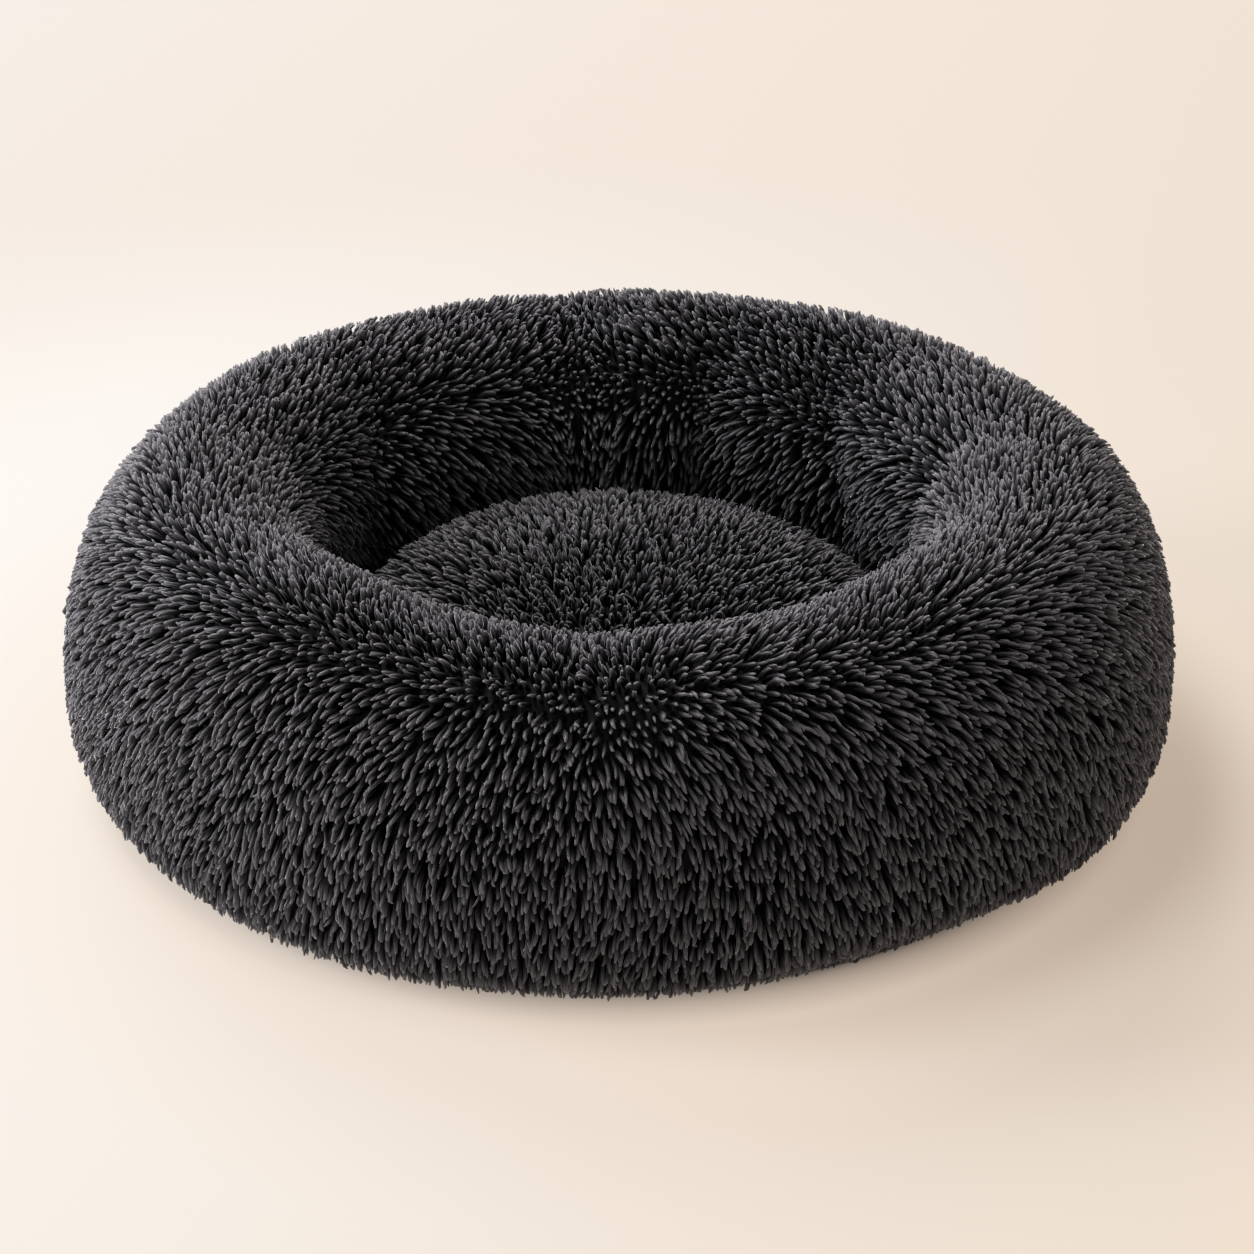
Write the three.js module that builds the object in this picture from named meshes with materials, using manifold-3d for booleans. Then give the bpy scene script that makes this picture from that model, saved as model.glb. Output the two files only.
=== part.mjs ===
// A round plush nest bed for a cat or small dog: a stuffed ring around a loose, crowned cushion.
// Millimetres, +Z up, origin at the middle of the underside, front towards -Y.
// The plush parts are modelled with their pile, so their outer faces are where the pile ends.
import * as THREE from 'three';
import { mergeVertices } from 'three/addons/utils/BufferGeometryUtils.js';
import Module from 'manifold-3d';

const wasm = await Module();
wasm.setup();

const degree = Math.PI / 180;
const fullTurn = 360;
const halfTurn = fullTurn / 2;
const seatGap = 0.3; // between pieces that are sewn or laid on each other
const softGap = 1.6; // between curved soft pieces, whose flat facets come closer than that
const overrun = 2; // how far a cutting solid passes what it cuts
const mergeReach = 1e-4; // points closer than this are one point

// Ring: outline of the stuffed tube, from the floor round the outside, over the crest and into the nest
const ringOuterRadius = 300;
const ringTubeWidth = 144; // from the outermost point in to the throat of the nest
const ringThroatRadius = ringOuterRadius - ringTubeWidth;
const ringCrestSetback = 73; // how far the crest lies outside the throat
const ringCrestRadius = ringThroatRadius + ringCrestSetback;
const ringContactSetback = 54; // how far the line on the floor lies inside the outermost point
const ringContactRadius = ringOuterRadius - ringContactSetback;
const ringFootSetback = 26; // how far the foot lies outside the throat
const ringFootRadius = ringThroatRadius + ringFootSetback;
const ringBellyHeight = 58;
const ringHeight = 175;
const ringThroatHeight = 90;
const ringFloorLift = 0.3;
const outerPower = 2.2; // fullness of the outline's quarters, where 2 is an ellipse
const innerPower = 2.1;
const quarterSteps = { pile: [3, 5, 6, 3], inside: [3, 3, 3, 3] };
const plainRingSteps = 32;

// Ring cover: two sewn halves of long-pile plush
const coverThickness = 14;
const hemThickness = 6;
const footThickness = 3;
const hemTuck = 6; // how far the hem's edge lies inside the line on the floor
const hemRadius = ringContactRadius - hemTuck;
const hemHeight = 3;
const coverStepAngle = 9; // degrees between sections
const coverLeastAngle = 2.2;
const creaseStationAngles = [-5, 0, 5]; // extra sections at and beside a crease, in degrees
const frontSeam = -94;
const backSeam = 99;

// Creases that gather the ring's cover. A crease runs down the nest's wall and leans as many degrees
// by the throat, and a seam pulls in the crest.
const creaseReach = 24;
const creaseGreatestDepth = 10;
const creases = [
  { azimuth: backSeam, lean: -12, depthShare: 0.5, seam: true },
  { azimuth: 69, lean: 0, depthShare: 1, seam: false },
  { azimuth: 44, lean: -7, depthShare: 0.9, seam: false },
  { azimuth: 9, lean: 0, depthShare: 0.6, seam: false },
  { azimuth: -27, lean: 0, depthShare: 0.6, seam: false },
  { azimuth: -61, lean: 0, depthShare: 0.7, seam: false },
  { azimuth: frontSeam, lean: 0, depthShare: 0.5, seam: true },
  { azimuth: -129, lean: 0, depthShare: 0.7, seam: false },
  { azimuth: -166, lean: 0, depthShare: 0.6, seam: false },
  { azimuth: 151, lean: 3, depthShare: 0.9, seam: false },
  { azimuth: 124, lean: -3, depthShare: 0.5, seam: false },
];
// Where a crease acts, in quarters of the outline counted from the crest, positive into the nest
const creaseStartShare = -0.15;
const creaseFullShare = 0.5;
const seamCentreShare = 0.1;
const seamSpreadShare = 0.75;

// Liner and filling inside the ring
const linerThickness = 1;
const linerSlit = 6; // width of the slit along the underside through which the fibre goes in
const ringUndersideHeight = 10;
const ringUndersideInset = 8; // how far the flat underside stays clear of the foot and hem curves

// Base: coated fabric with moulded grip dots, a wadding layer and the nest's floor lining
const dotHeight = 0.8;
const dotRadius = 4.5;
const dotTipRadius = 3.6;
const dotSides = 6;
const dotRings = 4;
const dotRootDepth = 0.5; // how far a dot reaches into the fabric
const dotEdgeMargin = 16; // from the outermost dots' middles to the edge of the flat
const baseThickness = 1.2;
const baseSteps = 48;
const waddingThickness = 6;
const waddingMargin = 2;
const liningThickness = 0.8;
const liningOverlap = 5; // how far the lining passes the edge of the flat
const discSteps = 48;

// Zip: an arc under the back edge, between the base and the ring cover's hem
const zipHeight = 7;
const zipStartAngle = 20; // degrees
const zipEndAngle = 160;
const zipSteps = 28;
const tapeThickness = 0.6;
const outerTapeWidth = 8.3;
const innerTapeWidth = 9.6;
const rowGap = 1.4;
const rowWidth = 2.1;
const rowHeight = 2.4;
const rowOuterEdge = rowGap / 2 + rowWidth;
const stopLength = 3;
const stopHeight = 2.8;

// From the hem inwards: outer tape, zip, inner tape, flange, ramp and the flat of the base
const flangeOuterRadius = hemRadius - softGap;
const zipRadius = flangeOuterRadius - outerTapeWidth - seatGap - rowOuterEdge;
const notchRadius = zipRadius - rowOuterEdge - innerTapeWidth - 2 * seatGap;
const flangeMargin = 2; // flange left whole inside the zip's notch
const flangeInnerRadius = notchRadius - flangeMargin;
const rampWidth = 12;
const baseFlatRadius = flangeInnerRadius - rampWidth;
const dotPitch = (baseFlatRadius - dotEdgeMargin) / dotRings;
const waddingRadius = baseFlatRadius - waddingMargin;
const liningRadius = baseFlatRadius + liningOverlap;

// Slider and pull
const sliderLength = 11;
const sliderPlate = 1.2;
const sliderTopPlate = 0.8;
const sliderCorner = 2.6;
const cornerSteps = 3;
const sliderRunningGap = 0.4;
const lipWidth = 1.2;
const postWidth = 0.7;
const postLength = 3;
const crownLength = 6;
const crownWidth = 2;
const crownLeg = 1;
const crownBar = 0.7;
const crownOpening = 2.1;
const pullLength = 28;
const pullWidth = 7;
const pullThickness = 1.2;
const pullCorner = 2.4;
const eyeLength = 4.5;
const eyeWidth = 3.2;
const pullHoleRadius = 1.5;

// Cushion: crowned, drawn in towards its underside
const cushionClearance = 9; // all round, to the nest's wall
const cushionRadius = ringThroatRadius - cushionClearance;
const cushionWaistHeight = 55;
const cushionShoulderRise = 43;
const cushionCrownRise = 8;
const cushionShoulderPower = 5;
const cushionDrawIn = 35; // how much smaller its underside is in radius
const cushionUnderRadius = cushionRadius - cushionDrawIn;
const cushionUnderPower = 2.2;
const cushionPile = 12;
const cushionHem = 3;
const cushionBaseThickness = 1.2;
const cushionSteps = 36;
const crownSteps = { pile: 9, inside: 6 };
const underSteps = { pile: 4, inside: 3 };

// Levels and angles worked out from the sizes above
const baseTop = dotHeight + baseThickness;
const waddingBottom = baseTop + seatGap;
const waddingTop = waddingBottom + waddingThickness;
const liningBottom = waddingTop + seatGap;
const liningTop = liningBottom + liningThickness;
const ringFootHeight = liningTop + seatGap;
const cushionBottom = liningTop + seatGap;
const sliderRest = zipStartAngle + arcDegrees(stopLength + 3 * seatGap + sliderLength / 2, zipRadius);
const stopInset = arcDegrees(seatGap + stopLength / 2, zipRadius);

// Degrees of arc that a length takes at a radius
function arcDegrees(length, radius) {
  return length / radius / degree;
}

// Points of one quarter of a superellipse; angles are in quarter turns from +r towards +z
function quarter(centre, half, power, from, to, steps) {
  const points = [];
  for (let i = 0; i <= steps; i += 1) {
    const angle = ((from + ((to - from) * i) / steps) * Math.PI) / 2;
    const along = Math.cos(angle);
    const upward = Math.sin(angle);
    points.push({
      r: centre.r + Math.sign(along) * half.r * Math.abs(along) ** (2 / power),
      z: centre.z + Math.sign(upward) * half.z * Math.abs(upward) ** (2 / power),
    });
  }
  return points;
}

// The ring's outline at a depth under its surface, with the place of each point in quarters
// from the crest: -2 where it meets the floor, 0 at the crest and 2 at the foot in the nest
function ringOutline(inset, contactHeight, footHeight, steps) {
  const top = ringHeight - inset;
  const throat = ringThroatRadius + inset;
  const outer = ringOuterRadius - inset;
  const belly = { r: ringContactRadius, z: ringBellyHeight };
  const shoulder = { r: ringCrestRadius, z: ringBellyHeight };
  const wall = { r: ringCrestRadius, z: ringThroatHeight };
  const foot = { r: ringFootRadius, z: ringThroatHeight };
  const quarters = [
    quarter(belly, { r: outer - belly.r, z: belly.z - contactHeight }, outerPower, -1, 0, steps[0]),
    quarter(shoulder, { r: outer - shoulder.r, z: top - shoulder.z }, outerPower, 0, 1, steps[1]),
    quarter(wall, { r: wall.r - throat, z: top - wall.z }, innerPower, 1, 2, steps[2]),
    quarter(foot, { r: foot.r - throat, z: foot.z - footHeight }, outerPower, 2, 3, steps[3]),
  ];
  const outline = [];
  quarters.forEach((points, index) => {
    points.forEach((point, i) => {
      if (index > 0 && i === 0) {
        return;
      }
      outline.push({ ...point, place: index - 2 + i / (points.length - 1) });
    });
  });
  return outline;
}

function smoothStep(from, to, value) {
  const t = Math.min(Math.max((value - from) / (to - from), 0), 1);
  return t * t * (3 - 2 * t);
}

// How far all creases pull the surface in, at an azimuth in degrees and a place on the outline
function creaseDepth(azimuth, point) {
  let depth = 0;
  for (const crease of creases) {
    const leaning = crease.lean * Math.min(Math.max(point.place, 0), 1);
    const turned = azimuth - crease.azimuth - leaning + fullTurn + halfTurn;
    const away = (turned % fullTurn) - halfTurn;
    const arc = Math.abs(away) * degree * point.r;
    const share = crease.seam
      ? Math.exp(-(((point.place - seamCentreShare) / seamSpreadShare) ** 2))
      : smoothStep(creaseStartShare, creaseFullShare, point.place);
    depth += creaseGreatestDepth * crease.depthShare * share * Math.exp(-arc / creaseReach);
  }
  return depth;
}

// Moves each outline point into the ring by the creases' depth there
function creased(outline, azimuth) {
  return outline.map((point, i) => {
    const before = outline[Math.max(i - 1, 0)];
    const after = outline[Math.min(i + 1, outline.length - 1)];
    const length = Math.hypot(after.r - before.r, after.z - before.z);
    const depth = creaseDepth(azimuth, point);
    return {
      r: point.r - ((after.z - before.z) / length) * depth,
      z: point.z + ((after.r - before.r) / length) * depth,
    };
  });
}

function onAzimuth(point, azimuth) {
  const angle = azimuth * degree;
  return new THREE.Vector3(point.r * Math.cos(angle), point.r * Math.sin(angle), point.z);
}

// Joins closed sections, given at azimuths in degrees, to one closed solid
function loft(sections, azimuths, isRing) {
  const size = sections[0].length;
  const positions = [];
  sections.forEach((section, i) => {
    section.forEach((point) => positions.push(...onAzimuth(point, azimuths[i]).toArray()));
  });
  const indices = [];
  const spans = isRing ? sections.length : sections.length - 1;
  for (let i = 0; i < spans; i += 1) {
    const next = (i + 1) % sections.length;
    for (let j = 0; j < size; j += 1) {
      const k = (j + 1) % size;
      indices.push(i * size + j, next * size + j, next * size + k);
      indices.push(i * size + j, next * size + k, i * size + k);
    }
  }
  if (!isRing) {
    const last = (sections.length - 1) * size;
    for (const [a, b, c] of capTriangles(sections[0])) {
      indices.push(a, b, c);
    }
    for (const [a, b, c] of capTriangles(sections[sections.length - 1])) {
      indices.push(last + c, last + b, last + a);
    }
  }
  const geometry = new THREE.BufferGeometry();
  geometry.setAttribute('position', new THREE.Float32BufferAttribute(positions, 3));
  geometry.setIndex(indices);
  return facingOut(geometry);
}

// Triangles over a section, all turned the same way round as its points
function capTriangles(section) {
  const flat = section.map((point) => new THREE.Vector2(point.r, point.z));
  const turn = Math.sign(THREE.ShapeUtils.area(flat));
  return THREE.ShapeUtils.triangulateShape(flat, []).map(([a, b, c]) => {
    const own = Math.sign(THREE.ShapeUtils.area([flat[a], flat[b], flat[c]]));
    return own === turn ? [a, b, c] : [c, b, a];
  });
}

// Turns all triangles round if the solid is inside out
function facingOut(geometry) {
  const position = geometry.getAttribute('position');
  const index = geometry.getIndex().array;
  const corner = (i) => new THREE.Vector3().fromBufferAttribute(position, index[i]);
  let volume = 0;
  for (let i = 0; i < index.length; i += 3) {
    volume += corner(i).dot(corner(i + 1).cross(corner(i + 2)));
  }
  if (volume < 0) {
    for (let i = 0; i < index.length; i += 3) {
      [index[i], index[i + 1]] = [index[i + 1], index[i]];
    }
  }
  return geometry;
}

// Sweeps one section round the axis, over a part of a turn or all of it
function swept(section, from, to, steps) {
  const isRing = to - from >= fullTurn;
  const count = isRing ? steps : steps + 1;
  const azimuths = Array.from({ length: count }, (_, i) => from + ((to - from) * i) / steps);
  return loft(azimuths.map(() => section), azimuths, isRing);
}

// Turns an outline that starts and ends on the axis into a solid
function turned(outline, steps) {
  const profile = outline.map((point) => new THREE.Vector2(point.r, point.z));
  const geometry = new THREE.LatheGeometry(profile, steps);
  return facingOut(geometry.rotateX(90 * degree));
}

function rectangle(innerRadius, outerRadius, bottom, top) {
  return [
    { r: innerRadius, z: bottom },
    { r: outerRadius, z: bottom },
    { r: outerRadius, z: top },
    { r: innerRadius, z: top },
  ];
}

// A closed solid ready to be joined or cut, without doubled points or collapsed triangles
function toSolid(geometry) {
  const bare = new THREE.BufferGeometry();
  bare.setAttribute('position', geometry.getAttribute('position').clone());
  bare.setIndex(geometry.getIndex());
  const merged = mergeVertices(bare, mergeReach);
  const kept = [];
  const index = merged.getIndex().array;
  for (let i = 0; i < index.length; i += 3) {
    const [a, b, c] = [index[i], index[i + 1], index[i + 2]];
    if (a !== b && b !== c && c !== a) {
      kept.push(a, b, c);
    }
  }
  merged.setIndex(kept);
  const whole = facingOut(merged);
  return new wasm.Manifold(
    new wasm.Mesh({
      numProp: 3,
      vertProperties: new Float32Array(whole.getAttribute('position').array),
      triVerts: new Uint32Array(whole.getIndex().array),
    }),
  );
}

function toGeometry(solid) {
  const mesh = solid.getMesh();
  const geometry = new THREE.BufferGeometry();
  geometry.setAttribute('position', new THREE.BufferAttribute(mesh.vertProperties, 3));
  geometry.setIndex(new THREE.BufferAttribute(mesh.triVerts, 1));
  return geometry;
}

function united(geometries) {
  return geometries.map(toSolid).reduce((whole, piece) => whole.add(piece));
}

// A box given by its middle in x and y and by its bottom and top
function box(sizeX, sizeY, bottom, top, x = 0, y = 0) {
  const geometry = new THREE.BoxGeometry(sizeX, sizeY, top - bottom);
  return geometry.translate(x, y, (top + bottom) / 2);
}

// An upright plate with round corners, centred on x = 0 between two ends in y
function roundedPlate(width, startY, endY, corner, bottom, top) {
  const half = width / 2;
  const shape = new THREE.Shape();
  shape.moveTo(half - corner, startY);
  shape.absarc(half - corner, startY + corner, corner, -90 * degree, 0);
  shape.absarc(half - corner, endY - corner, corner, 0, 90 * degree);
  shape.absarc(corner - half, endY - corner, corner, 90 * degree, 180 * degree);
  shape.absarc(corner - half, startY + corner, corner, 180 * degree, 270 * degree);
  const settings = { depth: top - bottom, bevelEnabled: false, curveSegments: cornerSteps };
  return new THREE.ExtrudeGeometry(shape, settings).translate(0, 0, bottom);
}

// Azimuths of a cover half's sections: an even row, and more beside each crease
function coverAzimuths(from, to) {
  const count = Math.round((to - from) / coverStepAngle);
  const wanted = Array.from({ length: count - 1 }, (_, i) => from + ((to - from) * (i + 1)) / count);
  const beside = [];
  for (const crease of creases) {
    for (const turn of [0, fullTurn]) {
      creaseStationAngles.forEach((offset) => beside.push(crease.azimuth + turn + offset));
    }
  }
  const azimuths = [from, to];
  for (const azimuth of [...beside, ...wanted]) {
    const inside = azimuth > from && azimuth < to;
    const clear = azimuths.every((other) => Math.abs(other - azimuth) > coverLeastAngle);
    if (inside && clear) {
      azimuths.push(azimuth);
    }
  }
  return azimuths.sort((a, b) => a - b);
}

function ringCoverHalf(fromSeam, toSeam) {
  const halfGap = arcDegrees(seatGap / 2, ringThroatRadius);
  const azimuths = coverAzimuths(fromSeam + halfGap, toSeam - halfGap);
  const pile = ringOutline(0, ringFloorLift, ringFootHeight, quarterSteps.pile);
  const backing = ringOutline(
    coverThickness,
    ringFloorLift + hemThickness,
    ringFootHeight + footThickness,
    quarterSteps.inside,
  );
  const sections = azimuths.map((azimuth) => [
    { r: hemRadius, z: hemHeight },
    ...creased(pile, azimuth),
    ...backing.toReversed(),
    { r: hemRadius, z: hemHeight + hemThickness },
  ]);
  return loft(sections, azimuths, false);
}

// The ring's inside at a depth, closed by a flat underside
function ringInside(inset) {
  const outline = ringOutline(
    coverThickness + softGap + inset,
    ringFloorLift + hemThickness + softGap + inset,
    ringFootHeight + footThickness + softGap + inset,
    quarterSteps.inside,
  );
  const underside = ringUndersideHeight + inset;
  return [
    { r: ringFootRadius + ringUndersideInset, z: underside },
    { r: hemRadius, z: underside },
    ...outline,
  ];
}

function ringLiner() {
  const outside = ringInside(0);
  const inside = ringInside(linerThickness);
  const slitEdge = outside[0].r + linerSlit;
  const outsideFromSlit = [{ r: slitEdge, z: outside[0].z }, ...outside.slice(1), outside[0]];
  const insideToSlit = [{ r: slitEdge, z: inside[0].z }, ...inside.slice(1), inside[0]];
  return swept([...outsideFromSlit, ...insideToSlit.toReversed()], 0, fullTurn, plainRingSteps);
}

function ringFilling() {
  return swept(ringInside(linerThickness + seatGap), 0, fullTurn, plainRingSteps);
}

function baseFabric() {
  const bottom = dotHeight;
  const flangeBottom = zipHeight - baseThickness / 2;
  const sheet = turned(
    [
      { r: 0, z: bottom },
      { r: baseFlatRadius, z: bottom },
      { r: flangeInnerRadius, z: flangeBottom },
      { r: flangeOuterRadius, z: flangeBottom },
      { r: flangeOuterRadius, z: flangeBottom + baseThickness },
      { r: flangeInnerRadius, z: flangeBottom + baseThickness },
      { r: baseFlatRadius, z: baseTop },
      { r: 0, z: baseTop },
    ],
    baseSteps,
  );
  const dots = [gripDot(0, 0)];
  for (let ring = 1; ring <= dotRings; ring += 1) {
    const count = 6 * ring;
    for (let i = 0; i < count; i += 1) {
      dots.push(gripDot(ring * dotPitch, (fullTurn * i) / count));
    }
  }
  const notch = swept(
    rectangle(notchRadius, hemRadius + overrun, flangeBottom - overrun, zipHeight + overrun),
    zipStartAngle,
    zipEndAngle,
    zipSteps,
  );
  return toGeometry(united([sheet, ...dots]).subtract(toSolid(notch)));
}

function gripDot(radius, azimuth) {
  const height = dotHeight + dotRootDepth;
  const rootRadius = dotRadius + ((dotRadius - dotTipRadius) * dotRootDepth) / dotHeight;
  const dot = new THREE.CylinderGeometry(rootRadius, dotTipRadius, height, dotSides);
  const place = onAzimuth({ r: radius, z: height / 2 }, azimuth);
  return dot.rotateX(90 * degree).translate(place.x, place.y, place.z);
}

function disc(radius, bottom, top, steps) {
  const corners = rectangle(0, radius, bottom, top);
  return turned(corners, steps);
}

function zipArc(innerRadius, outerRadius, thickness, endGap) {
  const inset = arcDegrees(endGap, zipRadius);
  const section = rectangle(
    innerRadius,
    outerRadius,
    zipHeight - thickness / 2,
    zipHeight + thickness / 2,
  );
  return swept(section, zipStartAngle + inset, zipEndAngle - inset, zipSteps);
}

function zipTape(isOuter) {
  return isOuter
    ? zipArc(zipRadius + rowOuterEdge + seatGap, flangeOuterRadius, tapeThickness, seatGap)
    : zipArc(notchRadius + seatGap, zipRadius - rowOuterEdge - seatGap, tapeThickness, seatGap);
}

function zipTeeth(isOuter) {
  const endGap = 2 * seatGap + stopLength;
  return isOuter
    ? zipArc(zipRadius + rowGap / 2, zipRadius + rowOuterEdge, rowHeight, endGap)
    : zipArc(zipRadius - rowOuterEdge, zipRadius - rowGap / 2, rowHeight, endGap);
}

function zipStop(azimuth) {
  const half = stopHeight / 2;
  const stop = box(2 * rowOuterEdge, stopLength, zipHeight - half, zipHeight + half);
  return placedOnZip(stop, azimuth);
}

// Puts a piece made round its own middle on the zip: its x is outwards and its y runs along the arc
function placedOnZip(geometry, azimuth) {
  return geometry.translate(zipRadius, 0, 0).rotateZ(azimuth * degree);
}

function zipSlider() {
  const lowerTop = zipHeight - rowHeight / 2 - seatGap;
  const upperBottom = zipHeight + rowHeight / 2 + seatGap;
  const halfWidth = rowOuterEdge + sliderRunningGap + lipWidth;
  const lipMiddle = halfWidth - lipWidth / 2;
  const tapeClearance = tapeThickness / 2 + sliderRunningGap;
  const lowerBottom = lowerTop - sliderPlate;
  const upperTop = upperBottom + sliderTopPlate;
  const halfLength = sliderLength / 2;
  const barTop = lowerBottom - crownOpening;
  const root = sliderTopPlate / 2; // how far joined boxes reach into each other
  const pieces = [
    roundedPlate(2 * halfWidth, -halfLength, halfLength, sliderCorner, lowerBottom, lowerTop),
    roundedPlate(2 * halfWidth, -halfLength, halfLength, sliderCorner, upperBottom, upperTop),
    box(postWidth, postLength, lowerTop - root, upperBottom + root, 0, halfLength - postLength),
    box(crownWidth, crownLength, barTop - crownBar, barTop),
  ];
  const lipLength = sliderLength - 2 * sliderCorner;
  for (const side of [-1, 1]) {
    const x = side * lipMiddle;
    pieces.push(box(lipWidth, lipLength, lowerTop - root, zipHeight - tapeClearance, x));
    pieces.push(box(lipWidth, lipLength, zipHeight + tapeClearance, upperBottom + root, x));
    const legY = (side * (crownLength - crownLeg)) / 2;
    pieces.push(box(crownWidth, crownLeg, barTop - crownBar / 2, lowerBottom + root, 0, legY));
  }
  return placedOnZip(toGeometry(united(pieces)), sliderRest);
}

// The pull lies along the zip, its cross bar under the slider's crown and its free end on the floor
function zipPull() {
  const axisHeight = zipHeight - rowHeight / 2 - seatGap - sliderPlate - crownOpening / 2;
  const end = pullThickness / 2;
  const bottom = axisHeight - end;
  const top = axisHeight + end;
  const tab = roundedPlate(pullWidth, end - pullLength, end, pullCorner, bottom, top);
  const eyeMiddle = -end - eyeLength / 2;
  const eye = box(eyeWidth, eyeLength, bottom - overrun, top + overrun, 0, eyeMiddle);
  const hole = new THREE.CylinderGeometry(pullHoleRadius, pullHoleRadius, 2 * overrun, dotSides);
  hole.rotateX(90 * degree).translate(0, 2 * pullCorner - pullLength, axisHeight);
  const pull = toGeometry(toSolid(tab).subtract(toSolid(eye)).subtract(toSolid(hole)));
  const reach = pullLength - end;
  const droop = Math.asin((axisHeight - seatGap) / Math.hypot(reach, end)) - Math.atan2(end, reach);
  pull.translate(0, 0, -axisHeight).rotateX(droop).translate(0, 0, axisHeight);
  return placedOnZip(pull, sliderRest);
}

// The cushion's outline at a depth under its surface, from its underside to the top of its crown
function cushionOutline(inset, underside, crownCount, underCount) {
  const radius = cushionRadius - inset;
  const centre = { r: cushionUnderRadius, z: cushionWaistHeight };
  const half = { r: radius - centre.r, z: centre.z - underside };
  const lower = quarter(centre, half, cushionUnderPower, -1, 0, underCount);
  const upper = [];
  for (let i = 1; i <= crownCount; i += 1) {
    const angle = ((i / crownCount) * Math.PI) / 2;
    const across = Math.cos(angle) ** (2 / cushionShoulderPower);
    const shoulder = Math.sin(angle) ** (2 / cushionShoulderPower);
    upper.push({
      r: i === crownCount ? 0 : radius * across,
      z: centre.z + (cushionShoulderRise - inset) * shoulder + cushionCrownRise * (1 - across ** 2),
    });
  }
  return [...lower, ...upper];
}

function cushionCover() {
  const pile = cushionOutline(0, cushionBottom, crownSteps.pile, underSteps.pile);
  const backing = cushionOutline(
    cushionPile,
    cushionBottom + cushionHem,
    crownSteps.inside,
    underSteps.inside,
  );
  return turned([...pile.toReversed(), ...backing], cushionSteps);
}

function cushionBase() {
  const radius = cushionUnderRadius - seatGap;
  return disc(radius, cushionBottom, cushionBottom + cushionBaseThickness, cushionSteps);
}

function cushionFilling() {
  const underside = cushionBottom + cushionHem + softGap;
  const outline = cushionOutline(
    cushionPile + softGap,
    underside,
    crownSteps.inside,
    underSteps.inside,
  );
  const restHeight = cushionBottom + cushionBaseThickness + seatGap;
  const rest = cushionUnderRadius - softGap;
  return turned([{ r: 0, z: restHeight }, { r: rest, z: restHeight }, ...outline], cushionSteps);
}

const plushCharcoal = { color: 0x3a3a3f, roughness: 0.95, metalness: 0 };
const wovenBlack = { color: 0x1d1d20, roughness: 0.8, metalness: 0 };
const linerWhite = { color: 0xe6e4de, roughness: 0.9, metalness: 0 };
const fibreWhite = { color: 0xf4f3ef, roughness: 1, metalness: 0 };
const nylonBlack = { color: 0x232326, roughness: 0.45, metalness: 0 };
const zincGrey = { color: 0x8d8f94, roughness: 0.35, metalness: 1 };

function piece(name, geometry, finish) {
  const mesh = new THREE.Mesh(geometry, new THREE.MeshStandardMaterial(finish));
  mesh.name = name;
  return mesh;
}

const bed = new THREE.Group();
bed.add(
  piece('rim_cover_right', ringCoverHalf(frontSeam, backSeam), plushCharcoal),
  piece('rim_cover_left', ringCoverHalf(backSeam, frontSeam + fullTurn), plushCharcoal),
  piece('rim_liner', ringLiner(), linerWhite),
  piece('rim_filling', ringFilling(), fibreWhite),
  piece('base_fabric', baseFabric(), wovenBlack),
  piece('base_wadding', disc(waddingRadius, waddingBottom, waddingTop, discSteps), fibreWhite),
  piece('nest_floor_lining', disc(liningRadius, liningBottom, liningTop, discSteps), wovenBlack),
);

const zip = new THREE.Group();
zip.add(
  piece('zip_tape_outer', zipTape(true), wovenBlack),
  piece('zip_tape_inner', zipTape(false), wovenBlack),
  piece('zip_teeth_outer', zipTeeth(true), nylonBlack),
  piece('zip_teeth_inner', zipTeeth(false), nylonBlack),
  piece('zip_stop_closed_end', zipStop(zipStartAngle + stopInset), zincGrey),
  piece('zip_stop_open_end', zipStop(zipEndAngle - stopInset), zincGrey),
  piece('zip_slider', zipSlider(), zincGrey),
  piece('zip_pull', zipPull(), zincGrey),
);

const cushion = new THREE.Group();
cushion.add(
  piece('cushion_cover', cushionCover(), plushCharcoal),
  piece('cushion_base', cushionBase(), wovenBlack),
  piece('cushion_filling', cushionFilling(), fibreWhite),
);

bed.add(zip, cushion);

export default bed;
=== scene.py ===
import math

import bmesh
import bpy
import numpy as np
from mathutils import Euler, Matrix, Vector


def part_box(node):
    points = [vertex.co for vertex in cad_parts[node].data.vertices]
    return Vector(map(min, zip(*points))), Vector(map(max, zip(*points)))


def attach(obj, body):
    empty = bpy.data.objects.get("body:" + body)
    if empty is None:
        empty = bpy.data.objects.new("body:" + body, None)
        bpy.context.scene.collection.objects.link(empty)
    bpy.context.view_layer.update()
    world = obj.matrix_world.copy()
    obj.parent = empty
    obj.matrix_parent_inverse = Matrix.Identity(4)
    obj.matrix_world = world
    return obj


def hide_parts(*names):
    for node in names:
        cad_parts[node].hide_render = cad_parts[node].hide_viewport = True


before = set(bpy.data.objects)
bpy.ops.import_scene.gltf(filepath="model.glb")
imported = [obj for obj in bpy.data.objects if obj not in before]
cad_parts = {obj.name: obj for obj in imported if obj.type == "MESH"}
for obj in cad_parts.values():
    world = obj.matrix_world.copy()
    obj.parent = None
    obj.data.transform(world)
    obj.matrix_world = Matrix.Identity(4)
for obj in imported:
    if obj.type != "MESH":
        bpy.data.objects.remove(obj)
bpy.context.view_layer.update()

MM = 0.001
SEAT_GAP = 0.3 * MM  # between pieces that are sewn or laid on each other
SOFT_GAP = 1.6 * MM  # between curved soft pieces

# Levels and radii read from the frame
LINING_LOW, LINING_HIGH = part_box("nest_floor_lining")
WADDING_LOW, WADDING_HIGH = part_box("base_wadding")
CUSHION_BASE_LOW, CUSHION_BASE_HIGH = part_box("cushion_base")
FOOT_HEIGHT = LINING_HIGH[2] + SEAT_GAP
CUSHION_BOTTOM = LINING_HIGH[2] + SEAT_GAP

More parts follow.
